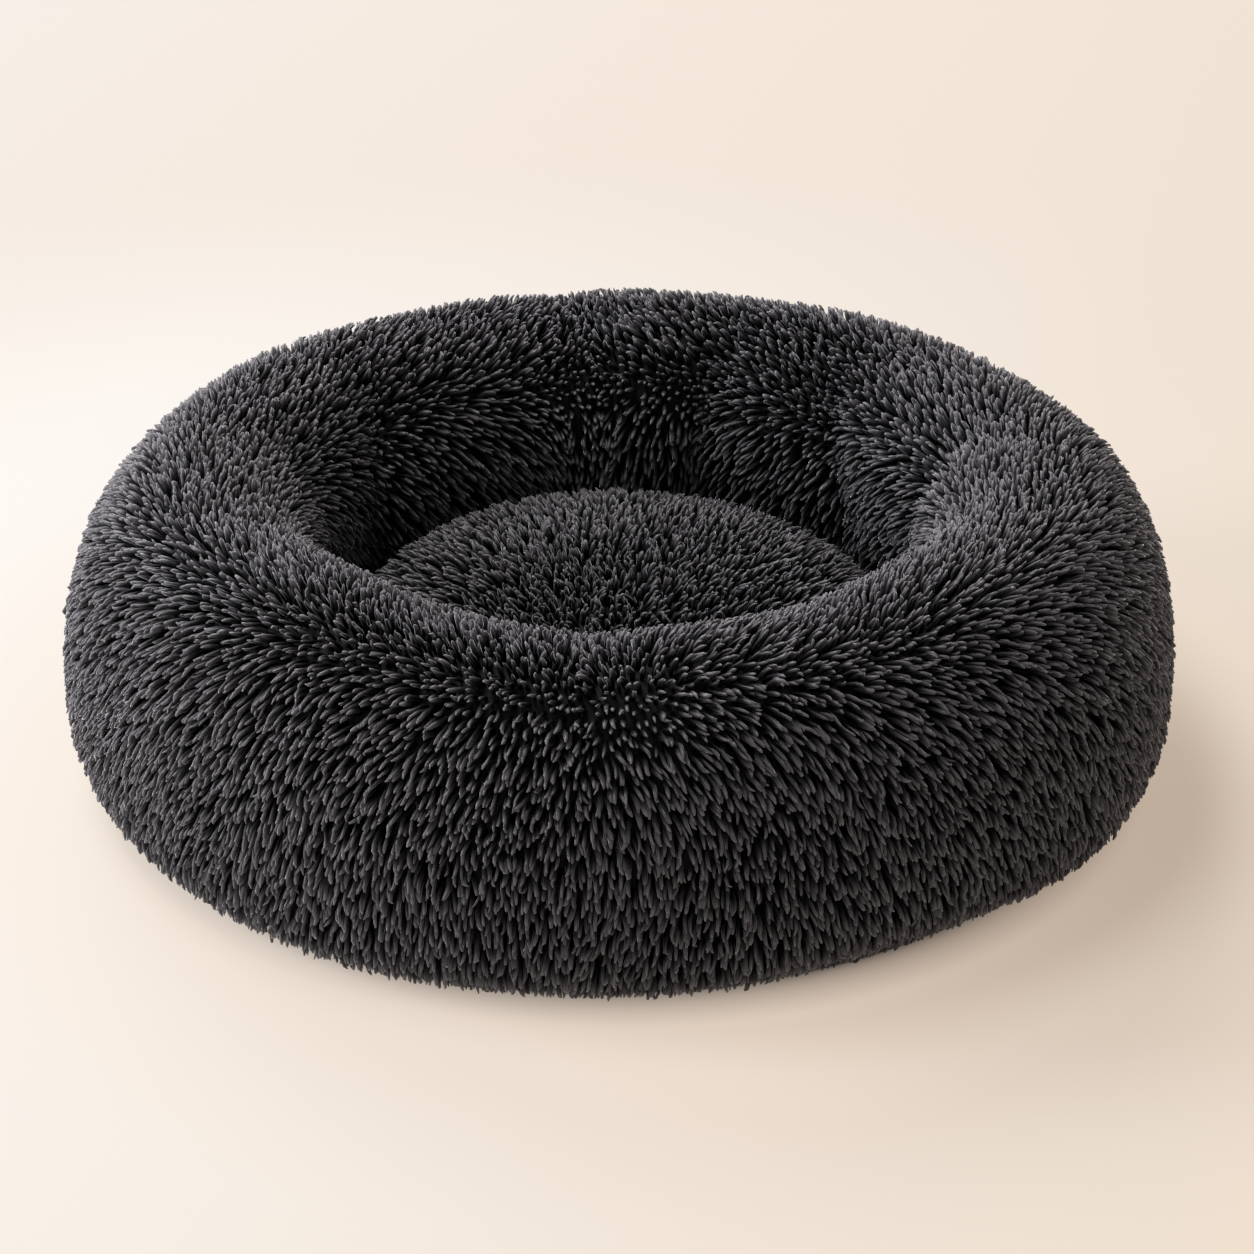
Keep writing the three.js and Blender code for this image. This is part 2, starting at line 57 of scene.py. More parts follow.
# Ring: outline of the pile's ends, with the same driving sizes as the CAD solid
RING_OUTER = 300 * MM
THROAT_RADIUS = RING_OUTER - 144 * MM
CREST_RADIUS = THROAT_RADIUS + 73 * MM
CONTACT_RADIUS = RING_OUTER - 54 * MM
FOOT_RADIUS = THROAT_RADIUS + 26 * MM
BELLY_HEIGHT = 58 * MM
RING_HEIGHT = 175 * MM
THROAT_HEIGHT = 90 * MM
FLOOR_LIFT = 0.3 * MM
OUTER_POWER = 2.2  # fullness of the outline's quarters, where 2 is an ellipse
INNER_POWER = 2.1
HEM_RADIUS = CONTACT_RADIUS - 6 * MM
HEM_THICKNESS = 6 * MM
HEM_HEIGHT = 3 * MM
HEM_TURN = 3.5 * MM  # by which the cover's hem laps in under the base's flange and the zip
FOOT_THICKNESS = 3 * MM
COVER_THICKNESS = 14 * MM
UNDERSIDE_HEIGHT = 10 * MM
FRONT_SEAM = -94.0  # azimuths of the seams between the cover's halves
BACK_SEAM = 99.0
RIGHT_SPAN = BACK_SEAM - FRONT_SEAM

# Creases that gather the ring's cover: azimuth, lean by the throat, depth and kind
CREASES = [
    (BACK_SEAM, -9.0, 7 * MM, "seam"),
    (72.5, 2.5, 22 * MM, "wall"),
    (54.0, -10.0, 23 * MM, "wall"),
    (14.0, 0.0, 9 * MM, "wall"),
    (-24.0, 0.0, 7 * MM, "foot"),
    (-59.0, 0.0, 8 * MM, "foot"),
    (FRONT_SEAM, 0.0, 5 * MM, "seam"),
    (-129.0, 0.0, 8 * MM, "foot"),
    (-166.0, 0.0, 7 * MM, "foot"),
    (166.0, 3.0, 6 * MM, "wall"),
    (134.0, 12.0, 17 * MM, "wall"),
]
CREASE_REACH = 26 * MM
CREASE_ROUND = 2 * MM  # half the width of a crease's rounded bottom
CREASE_RISES = {"wall": (0.05, 0.55), "foot": (0.5, 0.95)}  # places over which a crease deepens
CREASE_END = (2.05, 1.4)
SEAM_CENTRE, SEAM_SPREAD = 0.25, 0.55
LUMP_HEIGHT = 1.6 * MM
LUMP_WAVES = ((5, 2.1), (3, -1.3))  # turns round the ring and rate across it, for each of two waves
LUMP_PHASE = 0.7
LUMP_END = (2.0, 1.4)  # places on both sides over which lumps and swells run out
SWELLS = [  # azimuth, spread round the ring, height, place and spread in quarters
    (-44.0, 24.0, 6 * MM, 0.35, 0.5),
    (-138.0, 22.0, 5 * MM, 0.35, 0.5),
    (-62.0, 20.0, -8 * MM, -1.6, 0.35),
]

# Cushion
CUSHION_RADIUS = THROAT_RADIUS - 9 * MM
CUSHION_WAIST = 55 * MM
SHOULDER_RISE = 43 * MM
CROWN_RISE = 8 * MM
SHOULDER_POWER = 5
CUSHION_UNDER = CUSHION_RADIUS - 35 * MM
CUSHION_UNDER_POWER = 2.2
CUSHION_LUMP = 1.2 * MM
CUSHION_WAVE = (3, 4)  # turns round the cushion, and rate across it
CUSHION_LUMP_RISE, CUSHION_LUMP_END = (0.0, 0.5), 1.6

# Pile: tufts of plush, each a closed, bent and slightly flattened finger. A shape lists shares of
# a tuft's length and width. lean is how far a tuft stands over, swirl, clump and loose stray its
# nap at a large, a small and no scale, and wave bends its end. thinning sets coarse tufts apart.
BLUNT = [(0.0, 0.90), (0.35, 1.0), (0.68, 0.94), (0.90, 0.76), (1.0, 0.36)]
POINTED = [(0.0, 0.95), (0.35, 1.0), (0.68, 0.84), (0.90, 0.58), (1.0, 0.24)]
RING_PILE = {
    "depth": 11.5 * MM, "spacing": 4.8 * MM, "width": 2.8 * MM, "longest": 21 * MM, "shape": BLUNT,
    "places": (-1.98, 1.9), "thinning": 1.4, "seeds": (11, 21, 31),
    "lean": 48, "swirl": 0.12, "clump": 0.08, "loose": 0.12, "wave": 0.17,
}
CUSHION_PILE = {
    "depth": 10 * MM, "spacing": 5.0 * MM, "width": 3.0 * MM, "longest": 16 * MM, "shape": POINTED,
    "places": (0.0, 1.92), "thinning": 0.0, "seeds": (12, 41, 51),
    "lean": 44, "swirl": 0.10, "clump": 0.32, "loose": 0.12, "wave": 0.20,
}
RING_SECTORS = 8  # pieces of pile on each half of the ring
CUSHION_SECTORS = 3
TUFT_SIDES = 4
JITTER = 0.33  # how far a tuft strays from its place, as a share of the spacing
SWAY = 0.9 * MM  # how far a tuft wanders from side to side
BURIED = 0.8 * MM  # length of a tuft inside its backing
FINEST, COARSER = 0.88, 0.16  # thickness of the tufts in front, and how much more it is at the back
COARSE_SPAN = (-0.95, 0.8)  # sines of the azimuths from the front to the back
SWIRL_LENGTH, CLUMP_LENGTH, GATHER_LENGTH = 90 * MM, 17 * MM, 9 * MM
GATHER_SHARE, STRAY_SHARE = 0.7, 0.6  # of a tuft's own bend, with its neighbours and by itself
START_BEND, END_BEND = 0.55, 1.35  # shares of the lean at a tuft's root and at its end
START_WAVE = 0.4
NAP_LIMIT = 1.15
LEAST_STAND = 0.4  # share of its length by which a tuft stands out at least
LENGTH_VARIES, LENGTH_LIMITS = 0.035, (0.85, 1.1)
WIDTH_VARIES, WIDTH_LIMITS = 0.14, (0.65, 1.4)
FLATTEST = 0.75
TONE_POWERS = (2.4, 2.8)
UV_TONE, UV_ROUND, UV_CAP = 0.96, 0.02, 0.006  # of the UV map: span of the tones, tuft and tuft's end

# How the pile is brushed besides down: strengths, and the places over which each comes in and goes
ROUND_RIGHT, ROUND_LEFT = (0.6, -0.05), (-0.2, -0.5)  # at the front seam, and the change to the back
ROUND_SEAMS = ((0.0, 0.07), (1.0, 0.93))  # shares of the way from the front seam
ROUND_PLACES = ((-0.85, -0.25), (1.5, 0.9))
UNDER_OUT, UNDER_PLACES = 1.8, (-1.7, -1.9)
LOW_IN, LOW_PLACES = 0.9, ((-1.1, -1.45), (-1.75, -1.6))
CREST_UP, CREST_PLACES = 1.6, ((0.85, 0.3), (-0.1, 0.25))
LOW_SHORTER, SHORTER_PLACES = 0.22, (-1.3, -1.6)  # how much less the lowest tufts stand out
CUSHION_OUT = 1.05

# Backings, liner and fibre
BACKING_CONTACT = 5 * MM  # height of the ring's backing over the floor
RING_SKINS = [  # the backing's outer and inner skin: depth, and heights over floor, foot and hem
    (RING_PILE["depth"], BACKING_CONTACT, 1.2 * MM, 0.4 * MM),
    (13.2 * MM, BACKING_CONTACT + 1.3 * MM, 2.6 * MM, 2.0 * MM),
]
LINER_THICKNESS = 0.8 * MM
LINER_SLIT = (FOOT_RADIUS + 14 * MM, HEM_RADIUS)
LINER_HEEL = FOOT_RADIUS + 8 * MM
FIBRE_BELOW = (FOOT_RADIUS + 9 * MM, HEM_RADIUS - 2 * MM)
FIBRE_LIFT, FIBRE_INSET = 2.4 * MM, 2.6 * MM
FIBRE_LUMP, FIBRE_LUMP_LENGTH = 0.7 * MM, 30 * MM
CUSHION_SKINS = [  # depth, and height over the cushion's bottom
    (CUSHION_PILE["depth"], 0.8 * MM),
    (11.4 * MM, 2.4 * MM),
]
CUSHION_FIBRE_DEPTH, CUSHION_FIBRE_LIFT, CUSHION_FIBRE_GAP = 14 * MM, 4.6 * MM, 0.5 * MM
CUSHION_FIBRE_LUMP, CUSHION_FIBRE_LENGTH = 0.35 * MM, 28 * MM
CUSHION_FIBRE_SHARES = (0.95, 0.6, 0.3, 0)

# Base
CLOTH_THICKNESS = 1.2 * MM
DOT_HEIGHT = 0.8 * MM
DOT_PITCH = 46 * MM
DOT_RINGS = 4
DOT_OUTLINE = np.array([(3.0, 0.0), (3.6, 0.08), (4.1, 0.3), (4.4, 0.75), (4.5, 1.0)]) * MM
DOT_STEPS = 20
FLANGE_OUTER = HEM_RADIUS - SOFT_GAP
FLANGE_INNER = 212 * MM
FLAT_RADIUS = 200 * MM
FLAT_MARGIN = 2 * MM  # from the last point on the flat to the bend
WADDING_MARGIN, WADDING_INSET = 0.5 * MM, 0.15 * MM
WADDING_EDGE = (150 * MM, 197 * MM)
WADDING_LUMP, WADDING_LUMP_LENGTH = np.array([0.4, 0.4, 0.12]) * MM, 35 * MM
STITCH_PITCH = 4 * MM
STITCH_SHARE = 0.72  # of the pitch that a stitch covers
STITCH_SIDES = 5
STITCH_INSET = 3 * MM  # from the edge of a lining
CUSHION_BASE_LIFT = 0.1 * MM
LINING_THREAD, CUSHION_THREAD, SEAM_THREAD, ZIP_THREAD = 0.22 * MM, 0.12 * MM, 0.3 * MM, 0.16 * MM
SEAM_INSET, SEAM_LIFT, SEAM_SINK, SEAM_SLANT = 1.2 * MM, 0.7 * MM, 0.3 * MM, 3 * MM

# Zip
NOTCH_RADIUS = 214 * MM
NOTCH_REST = 0.01  # share of the flange's width that is left in the notch
NOTCH_SIDE = 1.5  # degrees beside the notch within which the cloth's points move to its edge
ZIP_RADIUS = 227 * MM
ZIP_HEIGHT = 7 * MM
ZIP_START, ZIP_END = 20.0, 160.0
ROW_EDGE = 2.8 * MM
STOP_LENGTH = 3 * MM
STOP_GAP = 3 * SEAT_GAP + 0.5 * MM
TOOTH_PITCH = 3 * MM
TOOTH_SECTIONS = np.array([  # reach from the zip's middle, half width and half height
    (2.8, 0.55, 0.80), (2.5, 0.75, 1.2), (0.5, 0.75, 1.2), (0.1, 0.45, 0.95), (-0.3, 0.40, 0.70),
]) * MM
OCTAGON = [(-1, -0.6), (-0.6, -1), (0.6, -1), (1, -0.6), (1, 0.6), (0.6, 1), (-0.6, 1), (-1, 0.6)]
TAPE_EDGE = np.array([0.0, 0.4, 0.9]) * MM
TAPE_HALF, CORD_HALF, EDGE_HALF = 0.2 * MM, 0.3 * MM, 0.12 * MM  # of the thickness
CORD_WIDTH = 1 * MM
TAPE_STITCH_TURN, TAPE_STITCH_PITCH = 0.5, 0.8 * STITCH_PITCH
OUTER_STITCH_INSET, INNER_STITCH_INSET = 2 * MM, 2.3 * MM
WORN_EDGE = 0.18 * MM

# Materials: colours along a tuft, dark at the root as painted shade between the tufts and light at the end
# as a painted highlight, tones from tuft to tuft, and the cloths' and fibres' patterns
PILE_SHADING_LEVELS = (0.0, 0.36, 0.68, 1.0)
PILE_TONES = [(0.0, (0.55, 0.55, 0.56)), (0.5, (0.92, 0.92, 0.93)), (1.0, (1.5, 1.47, 1.48))]
PILE_SHINE, PILE_SHEEN = 0.35, 0.7  # at the tufts' ends, from none lower down
SHINY_SPAN = (0.45, 1.0)
SHEEN_TINT = (0.95, 0.93, 1.0, 1)
FIBRE_STRETCH = (260, 4, 1)
WAVE_RATE = 20  # radians in a metre of a wave texture of scale one
WEAVE_SHARE = 0.55
FINE_RELIEF, FIBRE_RELIEF = 0.3 * MM, 1.2 * MM
WORN_SPAN = (-0.08, 0.10)  # of the roughness round a hard material's own

# Floor and backdrop: linear colours from left to right, painted lighter and cooler on the left and darker
# and warmer on the right as falloff of the light from the left, and how much of them a camera sees in any
# light
FLOOR_COLOURS_PAINTED_FALLOFF = [(0.0, (0.82, 0.80, 0.77)), (0.5, (0.73, 0.69, 0.63)), (1.0, (0.70, 0.65, 0.56))]
GLOW_COLOURS_PAINTED_FALLOFF = [(0.0, (0.93, 0.88, 0.835)), (0.5, (0.895, 0.805, 0.725)), (1.0, (0.86, 0.66, 0.50))]
FAR_COLOURS_PAINTED_FALLOFF = [(0.0, (0.94, 0.88, 0.84)), (0.5, (0.915, 0.815, 0.725)), (1.0, (0.86, 0.75, 0.655))]
BACKDROP_COLOUR = (0.90, 0.80, 0.71, 1)
ACROSS = (1.0, -0.3, 0.0)  # direction over the floor in which the colours change
FLOOR_SPAN = (-0.5, 0.6)  # metres across that the floor's and the glow's colours cover
FAR_SPAN = (-1.34, 0.46)
# The glow's share falls from left to right, so shadows are painted lighter at the left and front than at
# the right
GLOW_SPAN, GLOW_SHARES = (0.12, 0.36), (0.82, 0.54)
CONTACT_SPAN = (0.259, 0.292)  # metres from the middle over which the glow comes in
CONTACT_POWER = 0.5
# Painted warm shade, multiplied into the glow near the bed
PAINTED_SHADE_TINTS = [(0.0, (0.99, 0.925, 0.86)), (1.0, (1.0, 1.0, 1.0))]
PAINTED_SHADE_SPAN = (0.25, 0.45)  # metres from the middle over which the glow's painted warm shade near the bed fades
FAR_REACH = (0.5, 1.05)  # metres from the middle over which the far colours take over
FLOOR_RADIUS = 9.0
FLOOR_DROP = 0.2 * MM

# Lights and camera
FILL_COLOUR, FILL_STRENGTH = (1.0, 0.97, 0.94, 1), 0.175
LAMPS = [  # name, place, the point that it faces, size, watts and colour
    ("key", (-2.3, 0.1, 0.85), (0, 0, 0.05), 0.9, 44, (0.98, 1.0, 1.04)),
    ("top", (-0.85, 0.05, 2.65), (0, 0, 0.0), 1.2, 48, (1.0, 0.99, 0.98)),
]
SUN_STRENGTH, SUN_ANGLE, SUN_COLOUR = 2.0, 30, (1.0, 0.99, 0.98)
SUN_TURN = (-50, 0, 24)
LENS, SENSOR = 93.46, 36.0  # millimetres
CAMERA_PLACE = (0.0012, -1.5984, 0.8672)
CAMERA_PITCH, CAMERA_YAW = 26.555, 0.088


def unit(vectors):
    return vectors / (np.linalg.norm(vectors, axis=-1, keepdims=True) + 1e-12)


def dot(a, b):
    return np.sum(a * b, axis=-1, keepdims=True)


def smooth_step(low, high, value):
    share = np.clip((value - low) / (high - low), 0, 1)
    return share * share * (3 - 2 * share)


def hump(value, rise, fall):
    """Goes from 0 to 1 over one span of values, and back to 0 over another."""
    return smooth_step(*rise, value) * smooth_step(*fall, value)


def degrees_from(centre, azimuth):
    """How far an azimuth is from a centre, from -180 to 180."""
    return (azimuth - centre + 540) % 360 - 180


def at_azimuth(azimuth, r, z):
    r, z, turn = np.broadcast_arrays(r, z, np.radians(azimuth))
    return np.stack([r * np.cos(turn), r * np.sin(turn), z], axis=-1)


def smooth_noise(points, length, seed, waves=12):
    """Three smooth values of about -1 to 1 at each point, which turn over about that length."""
    rng = np.random.default_rng(seed)
    total = np.zeros((len(points), 3))
    for _ in range(waves):
        direction = unit(rng.normal(size=3)) * 2 * math.pi / length * rng.uniform(0.6, 1.4)
        total += np.sin((points @ direction)[:, None] + rng.uniform(0, 2 * math.pi, 3))
    return total / math.sqrt(waves)


# Ring and cushion surfaces

def ring_outline(place, inset=0.0, contact=FLOOR_LIFT, foot=FOOT_HEIGHT):
    """(r, z) of places on the ring's outline, which is made of quarters of rounded ellipses."""
    place = np.clip(np.asarray(place, float), -2, 2)
    outer, top, throat = RING_OUTER - inset, RING_HEIGHT - inset, THROAT_RADIUS + inset
    quarters = np.array([
        (CONTACT_RADIUS, BELLY_HEIGHT, outer - CONTACT_RADIUS, BELLY_HEIGHT - contact, OUTER_POWER),
        (CREST_RADIUS, BELLY_HEIGHT, outer - CREST_RADIUS, top - BELLY_HEIGHT, OUTER_POWER),
        (CREST_RADIUS, THROAT_HEIGHT, CREST_RADIUS - throat, top - THROAT_HEIGHT, INNER_POWER),
        (FOOT_RADIUS, THROAT_HEIGHT, FOOT_RADIUS - throat, THROAT_HEIGHT - foot, OUTER_POWER),
    ])
    quarter = np.clip(np.floor(place + 2).astype(int), 0, 3)
    centre_r, centre_z, half_r, half_z, power = quarters[quarter].T
    angle = (place + 1) * math.pi / 2
    along, upward = np.cos(angle), np.sin(angle)
    r = centre_r + np.sign(along) * half_r * np.abs(along) ** (2 / power)
    z = centre_z + np.sign(upward) * half_z * np.abs(upward) ** (2 / power)
    return r, z


def crease_depth(azimuth, place, radius):
    """How far all creases together pull the ring's surface in."""
    depth = np.zeros(np.broadcast(azimuth, place).shape)
    for centre, lean, deepest, kind in CREASES:
        away = degrees_from(centre + lean * np.clip(place, 0, 1), azimuth)
        arc = np.hypot(np.radians(away) * radius, CREASE_ROUND)
        if kind == "seam":
            share = np.exp(-((place - SEAM_CENTRE) / SEAM_SPREAD) ** 2)
        else:
            share = hump(place, CREASE_RISES[kind], CREASE_END)
        depth += deepest * share * np.exp(-arc / CREASE_REACH)
    return depth


def ring_surface(azimuth, place, inset=0.0, contact=FLOOR_LIFT, foot=FOOT_HEIGHT):
    """Points of the creased and softly lumpy ring surface, at an inset under its pile's ends."""
    step = 1e-3
    r0, z0 = ring_outline(place - step, inset, contact, foot)
    r1, z1 = ring_outline(place + step, inset, contact, foot)
    r, z = ring_outline(place, inset, contact, foot)
    length = np.hypot(r1 - r0, z1 - z0) + 1e-12
    turn = np.radians(azimuth)
    (turns, across), (other_turns, other_across) = LUMP_WAVES
    wave, other_wave = turns * turn + across * place, other_turns * turn + other_across * place
    lumps = LUMP_HEIGHT * np.sin(wave) * np.cos(other_wave + LUMP_PHASE)
    for centre, spread, height, middle, reach in SWELLS:
        away = degrees_from(centre, azimuth)
        lumps = lumps + height * np.exp(-(away / spread) ** 2 - ((place - middle) / reach) ** 2)
    inward = crease_depth(azimuth, place, r) - lumps * smooth_step(*LUMP_END, np.abs(place))
    return at_azimuth(azimuth, r - (z1 - z0) / length * inward, z + (r1 - r0) / length * inward)


def surface_normal(surface, azimuth, place, inset, turn, low, high):
    """Normals of a surface, across a small turn and from a little below each place to above it."""
    across = surface(azimuth + turn, place, inset) - surface(azimuth - turn, place, inset)
    along = surface(azimuth, high, inset) - surface(azimuth, low, inset)
    return unit(np.cross(across, along))


def ring_normal(azimuth, place, inset, turn=0.4, step=0.02):
    return surface_normal(ring_surface, azimuth, place, inset, turn, place - step, place + step)


def cushion_outline(place, inset=0.0, underside=CUSHION_BOTTOM):
    """(r, z) of places on the cushion's outline."""
    place = np.clip(np.asarray(place, float), 0, 2)
    radius = CUSHION_RADIUS - inset
    upper = (1 - np.minimum(place, 1)) * math.pi / 2
    across = np.cos(upper) ** (2 / SHOULDER_POWER)
    shoulder = np.sin(upper) ** (2 / SHOULDER_POWER)
    top_z = CUSHION_WAIST + (SHOULDER_RISE - inset) * shoulder + CROWN_RISE * (1 - across ** 2)
    lower = (np.maximum(place, 1) - 1) * math.pi / 2
    low_r = CUSHION_UNDER + (radius - CUSHION_UNDER) * np.abs(np.cos(lower)) ** (2 / CUSHION_UNDER_POWER)
    low_z = CUSHION_WAIST - (CUSHION_WAIST - underside) * np.sin(lower) ** (2 / CUSHION_UNDER_POWER)
    return np.where(place <= 1, radius * across, low_r), np.where(place <= 1, top_z, low_z)


def cushion_surface(azimuth, place, inset=0.0, underside=CUSHION_BOTTOM):
    r, z = cushion_outline(place, inset, underside)
    turns, across = CUSHION_WAVE
    lumps = CUSHION_LUMP * np.sin(turns * np.radians(azimuth) + across * place)
    lumps = lumps * smooth_step(*CUSHION_LUMP_RISE, place) * (place < CUSHION_LUMP_END)
    return at_azimuth(azimuth, r, z + lumps)


def cushion_normal(azimuth, place, inset, turn=0.5, step=0.01, first=5e-4):
    low, high = np.clip(place - step, first, 2), np.clip(place + step, first, 2)
    return -surface_normal(cushion_surface, azimuth, place, inset, turn, low, high)


# Mesh building

def link(obj, material=None):
    bpy.context.scene.collection.objects.link(obj)
    if material:
        obj.data.materials.append(material)
    return obj


def mesh_object(name, vertices, faces, material, smooth=True):
    mesh = bpy.data.meshes.new(name)
    mesh.from_pydata([tuple(v) for v in vertices], [], [tuple(f) for f in faces])
    mesh.update()
    bm = bmesh.new()
    bm.from_mesh(mesh)
    bmesh.ops.recalc_face_normals(bm, faces=bm.faces)
    bm.to_mesh(mesh)
    bm.free()
    mesh.polygons.foreach_set("use_smooth", [smooth] * len(mesh.polygons))
    return link(bpy.data.objects.new(name, mesh), material)


def dress(piece, body, slot, *nodes):
    """Fixes a finished piece to its body and hides the CAD nodes that it stands for. The slot is not used.
    """
    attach(piece, body)
    if nodes:
        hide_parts(*nodes)
    return piece


def grid_faces(rows, columns, rows_close, columns_close):
    """Quads over a grid of points, which may close on itself either way."""
    faces = []
    for i in range(rows if rows_close else rows - 1):
        for j in range(columns if columns_close else columns - 1):
            i2, j2 = (i + 1) % rows, (j + 1) % columns
            faces.append((i * columns + j, i2 * columns + j, i2 * columns + j2, i * columns + j2))
    return faces


def tube_faces(count, size):
    """Faces of a run of closed sections with both ends capped."""
    ends = [tuple(range(size)), tuple((count - 1) * size + j for j in range(size))]
    return grid_faces(count, size, False, True) + ends


def swept_sections(name, sections, is_ring, material, smooth=True):
    """Joins closed sections, all with as many points, to one closed solid."""
    count, size = len(sections), len(sections[0])
    faces = grid_faces(count, size, True, True) if is_ring else tube_faces(count, size)
    return mesh_object(name, np.concatenate(sections), faces, material, smooth)


def turned_object(name, outline, steps, material, wobble=None):
    """Turns an outline that starts and ends on the axis into a solid, moved by wobble if given."""
    outline = np.array(outline, float)
    inner = outline[1:-1]
    turns = np.arange(steps) * 360 / steps
    points = np.concatenate([at_azimuth(t, inner[:, 0], inner[:, 1]) for t in turns])
    size = len(inner)
    faces = grid_faces(steps, size, True, False)
    start, end = len(points), len(points) + 1
    for i in range(steps):
        i2 = (i + 1) % steps
        faces.append((start, i2 * size, i * size))
        faces.append((end, i * size + size - 1, i2 * size + size - 1))
    points = np.concatenate([points, [[0, 0, outline[0, 1]], [0, 0, outline[-1, 1]]]])
    if wobble:
        points = wobble(points)
    return mesh_object(name, points, faces, material)


def disc_outline(radius, low, high, rings, corner_steps=5):
    """The outline of a flat disc with a half-round edge, from its underside's middle to its top's."""
    edge = (high - low) / 2
    flat = np.linspace(0, radius - edge, rings)
    bend = np.linspace(-math.pi / 2, math.pi / 2, corner_steps + 2)[1:-1]
    lower = [(r, low) for r in flat]
    side = [(radius - edge + edge * math.cos(a), (low + high) / 2 + edge * math.sin(a)) for a in bend]
    return lower + side + [(r, high) for r in flat[::-1]]


def joined_object(name, parts, material):
    """One mesh of several separate closed bodies, each given as (vertices, faces)."""
    vertices, faces, first = [], [], 0
    for part_vertices, part_faces in parts:
        vertices.append(np.asarray(part_vertices, float))
        faces += [tuple(first + i for i in face) for face in part_faces]
        first += len(part_vertices)
    return mesh_object(name, np.concatenate(vertices), faces, material)


def there_and_back(first, second):
    """Closed sections that run out along one row of points and back along another."""
    return np.concatenate([first, second[:, ::-1]], axis=1)


def thread(points, radius):
    """A closed thread through points, drawn in at both ends, as (vertices, faces)."""
    along = unit(np.gradient(points, axis=0))
    helper = np.where(np.abs(along[:, 2:3]) > 0.9, [[1.0, 0, 0]], [[0, 0, 1.0]])
    across = unit(np.cross(along, helper))
    third = np.cross(along, across)
    turns = (np.arange(STITCH_SIDES) * 2 * math.pi / STITCH_SIDES)[None, :, None]
    thickness = np.full(len(points), radius)
    thickness[[0, -1]] /= 2
    round_it = across[:, None] * np.cos(turns) + third[:, None] * np.sin(turns)
    rings = points[:, None] + round_it * thickness[:, None, None]
    return rings.reshape(-1, 3), tube_faces(len(points), STITCH_SIDES)


def stitch_ring(radius, z, start, end, pitch, thickness, rise, slant=0.0):
    """Stitches along a circle: short threads that dip into the cloth at both ends."""
    count = int(math.radians(end - start) * radius / pitch)
    share = np.linspace(-0.5, 0.5, 5)
    stitches = []
    for i in range(count):
        azimuth = start + (i + 0.5) * (end - start) / count
        angles = azimuth + np.degrees(share * STITCH_SHARE * pitch / radius)
        height = z + rise * np.cos(share * math.pi) - math.copysign(thickness, rise)
        stitches.append(thread(at_azimuth(angles, radius + slant * share, height), thickness))
    return stitches


# Materials

def set_inputs(tree, node, inputs):
    """Sets each named or numbered input of a node to a value, or links it to another node's output."""
    for key, value in inputs.items():
        if isinstance(value, bpy.types.NodeSocket):
            tree.links.new(value, node.inputs[key])
        else:
            node.inputs[key].default_value = value


def add_node(tree, kind, inputs=None, **settings):
    """A new shader node of a kind, with its inputs and its settings."""
    node = tree.nodes.new("ShaderNode" + kind)
    for name, value in settings.items():
        setattr(node, name, value)
    set_inputs(tree, node, inputs or {})
    return node


def maths(tree, operation, *values):
    return add_node(tree, "Math", dict(enumerate(values)), operation=operation).outputs["Value"]


def vector_maths(tree, operation, *values):
    return add_node(tree, "VectorMath", dict(enumerate(values)), operation=operation).outputs


def map_range(tree, value, span, to=(0.0, 1.0), smooth=False):
    """Maps one span of values to another, and holds its ends beyond it."""
    inputs = {"Value": value, "From Min": span[0], "From Max": span[1], "To Min": to[0], "To Max": to[1]}
    shape = "SMOOTHSTEP" if smooth else "LINEAR"
    return add_node(tree, "MapRange", inputs, interpolation_type=shape).outputs["Result"]


def noise(tree, place, scale, detail, distortion=0.0):
    inputs = {"Vector": place, "Scale": scale, "Detail": detail, "Distortion": distortion}
    return add_node(tree, "TexNoise", inputs).outputs["Fac"]


def colour_ramp(tree, stops, value):
    ramp = add_node(tree, "ValToRGB", {"Fac": value})
    elements = ramp.color_ramp.elements
    while len(elements) < len(stops):
        elements.new(0.5)
    for element, (position, colour) in zip(elements, stops):
        element.position = position
        element.color = (*colour, 1)
    return ramp.outputs["Color"]


def add_bump(tree, shader, height, strength, distance):
    bump = add_node(tree, "Bump", {"Height": height, "Strength": strength, "Distance": distance})
    set_inputs(tree, shader, {"Normal": bump.outputs["Normal"]})


def new_material(name):
    material = bpy.data.materials.new(name)
    material.use_nodes = True
    return material, material.node_tree, material.node_tree.nodes["Principled BSDF"]


def pile_material(name, root, body, highlight_tip):
    """Plush tufts. Their UV map holds each tuft's tone across and its own length upwards. Their colour
    runs from painted shade at the root to a painted highlight at the end.
    """
    material, tree, shader = new_material(name)
    uv = add_node(tree, "UVMap", uv_map="OFBake").outputs["UV"]
    split = add_node(tree, "SeparateXYZ", {"Vector": uv}).outputs
    # Along the tuft: painted shade at the root, painted highlight at the end
    colour = colour_ramp(tree, list(zip(PILE_SHADING_LEVELS, (root, root, body, highlight_tip))), split["Y"])
    tone = colour_ramp(tree, PILE_TONES, split["X"])
    mix = add_node(tree, "Mix", {0: 1.0, 6: colour, 7: tone}, data_type="RGBA", blend_type="MULTIPLY")
    fibres = noise(tree, vector_maths(tree, "MULTIPLY", uv, FIBRE_STRETCH)["Vector"], 1.0, 3.0)
    add_bump(tree, shader, fibres, 0.10, FINE_RELIEF)
    shine = map_range(tree, split["Y"], SHINY_SPAN, (0.0, PILE_SHINE))
    sheen = map_range(tree, split["Y"], SHINY_SPAN, (0.0, PILE_SHEEN))
    set_inputs(tree, shader, {"Base Color": mix.outputs[2], "Roughness": 0.40, "Specular IOR Level": shine,
                              "Sheen Weight": sheen, "Sheen Roughness": 0.30, "Sheen Tint": SHEEN_TINT})
    return material


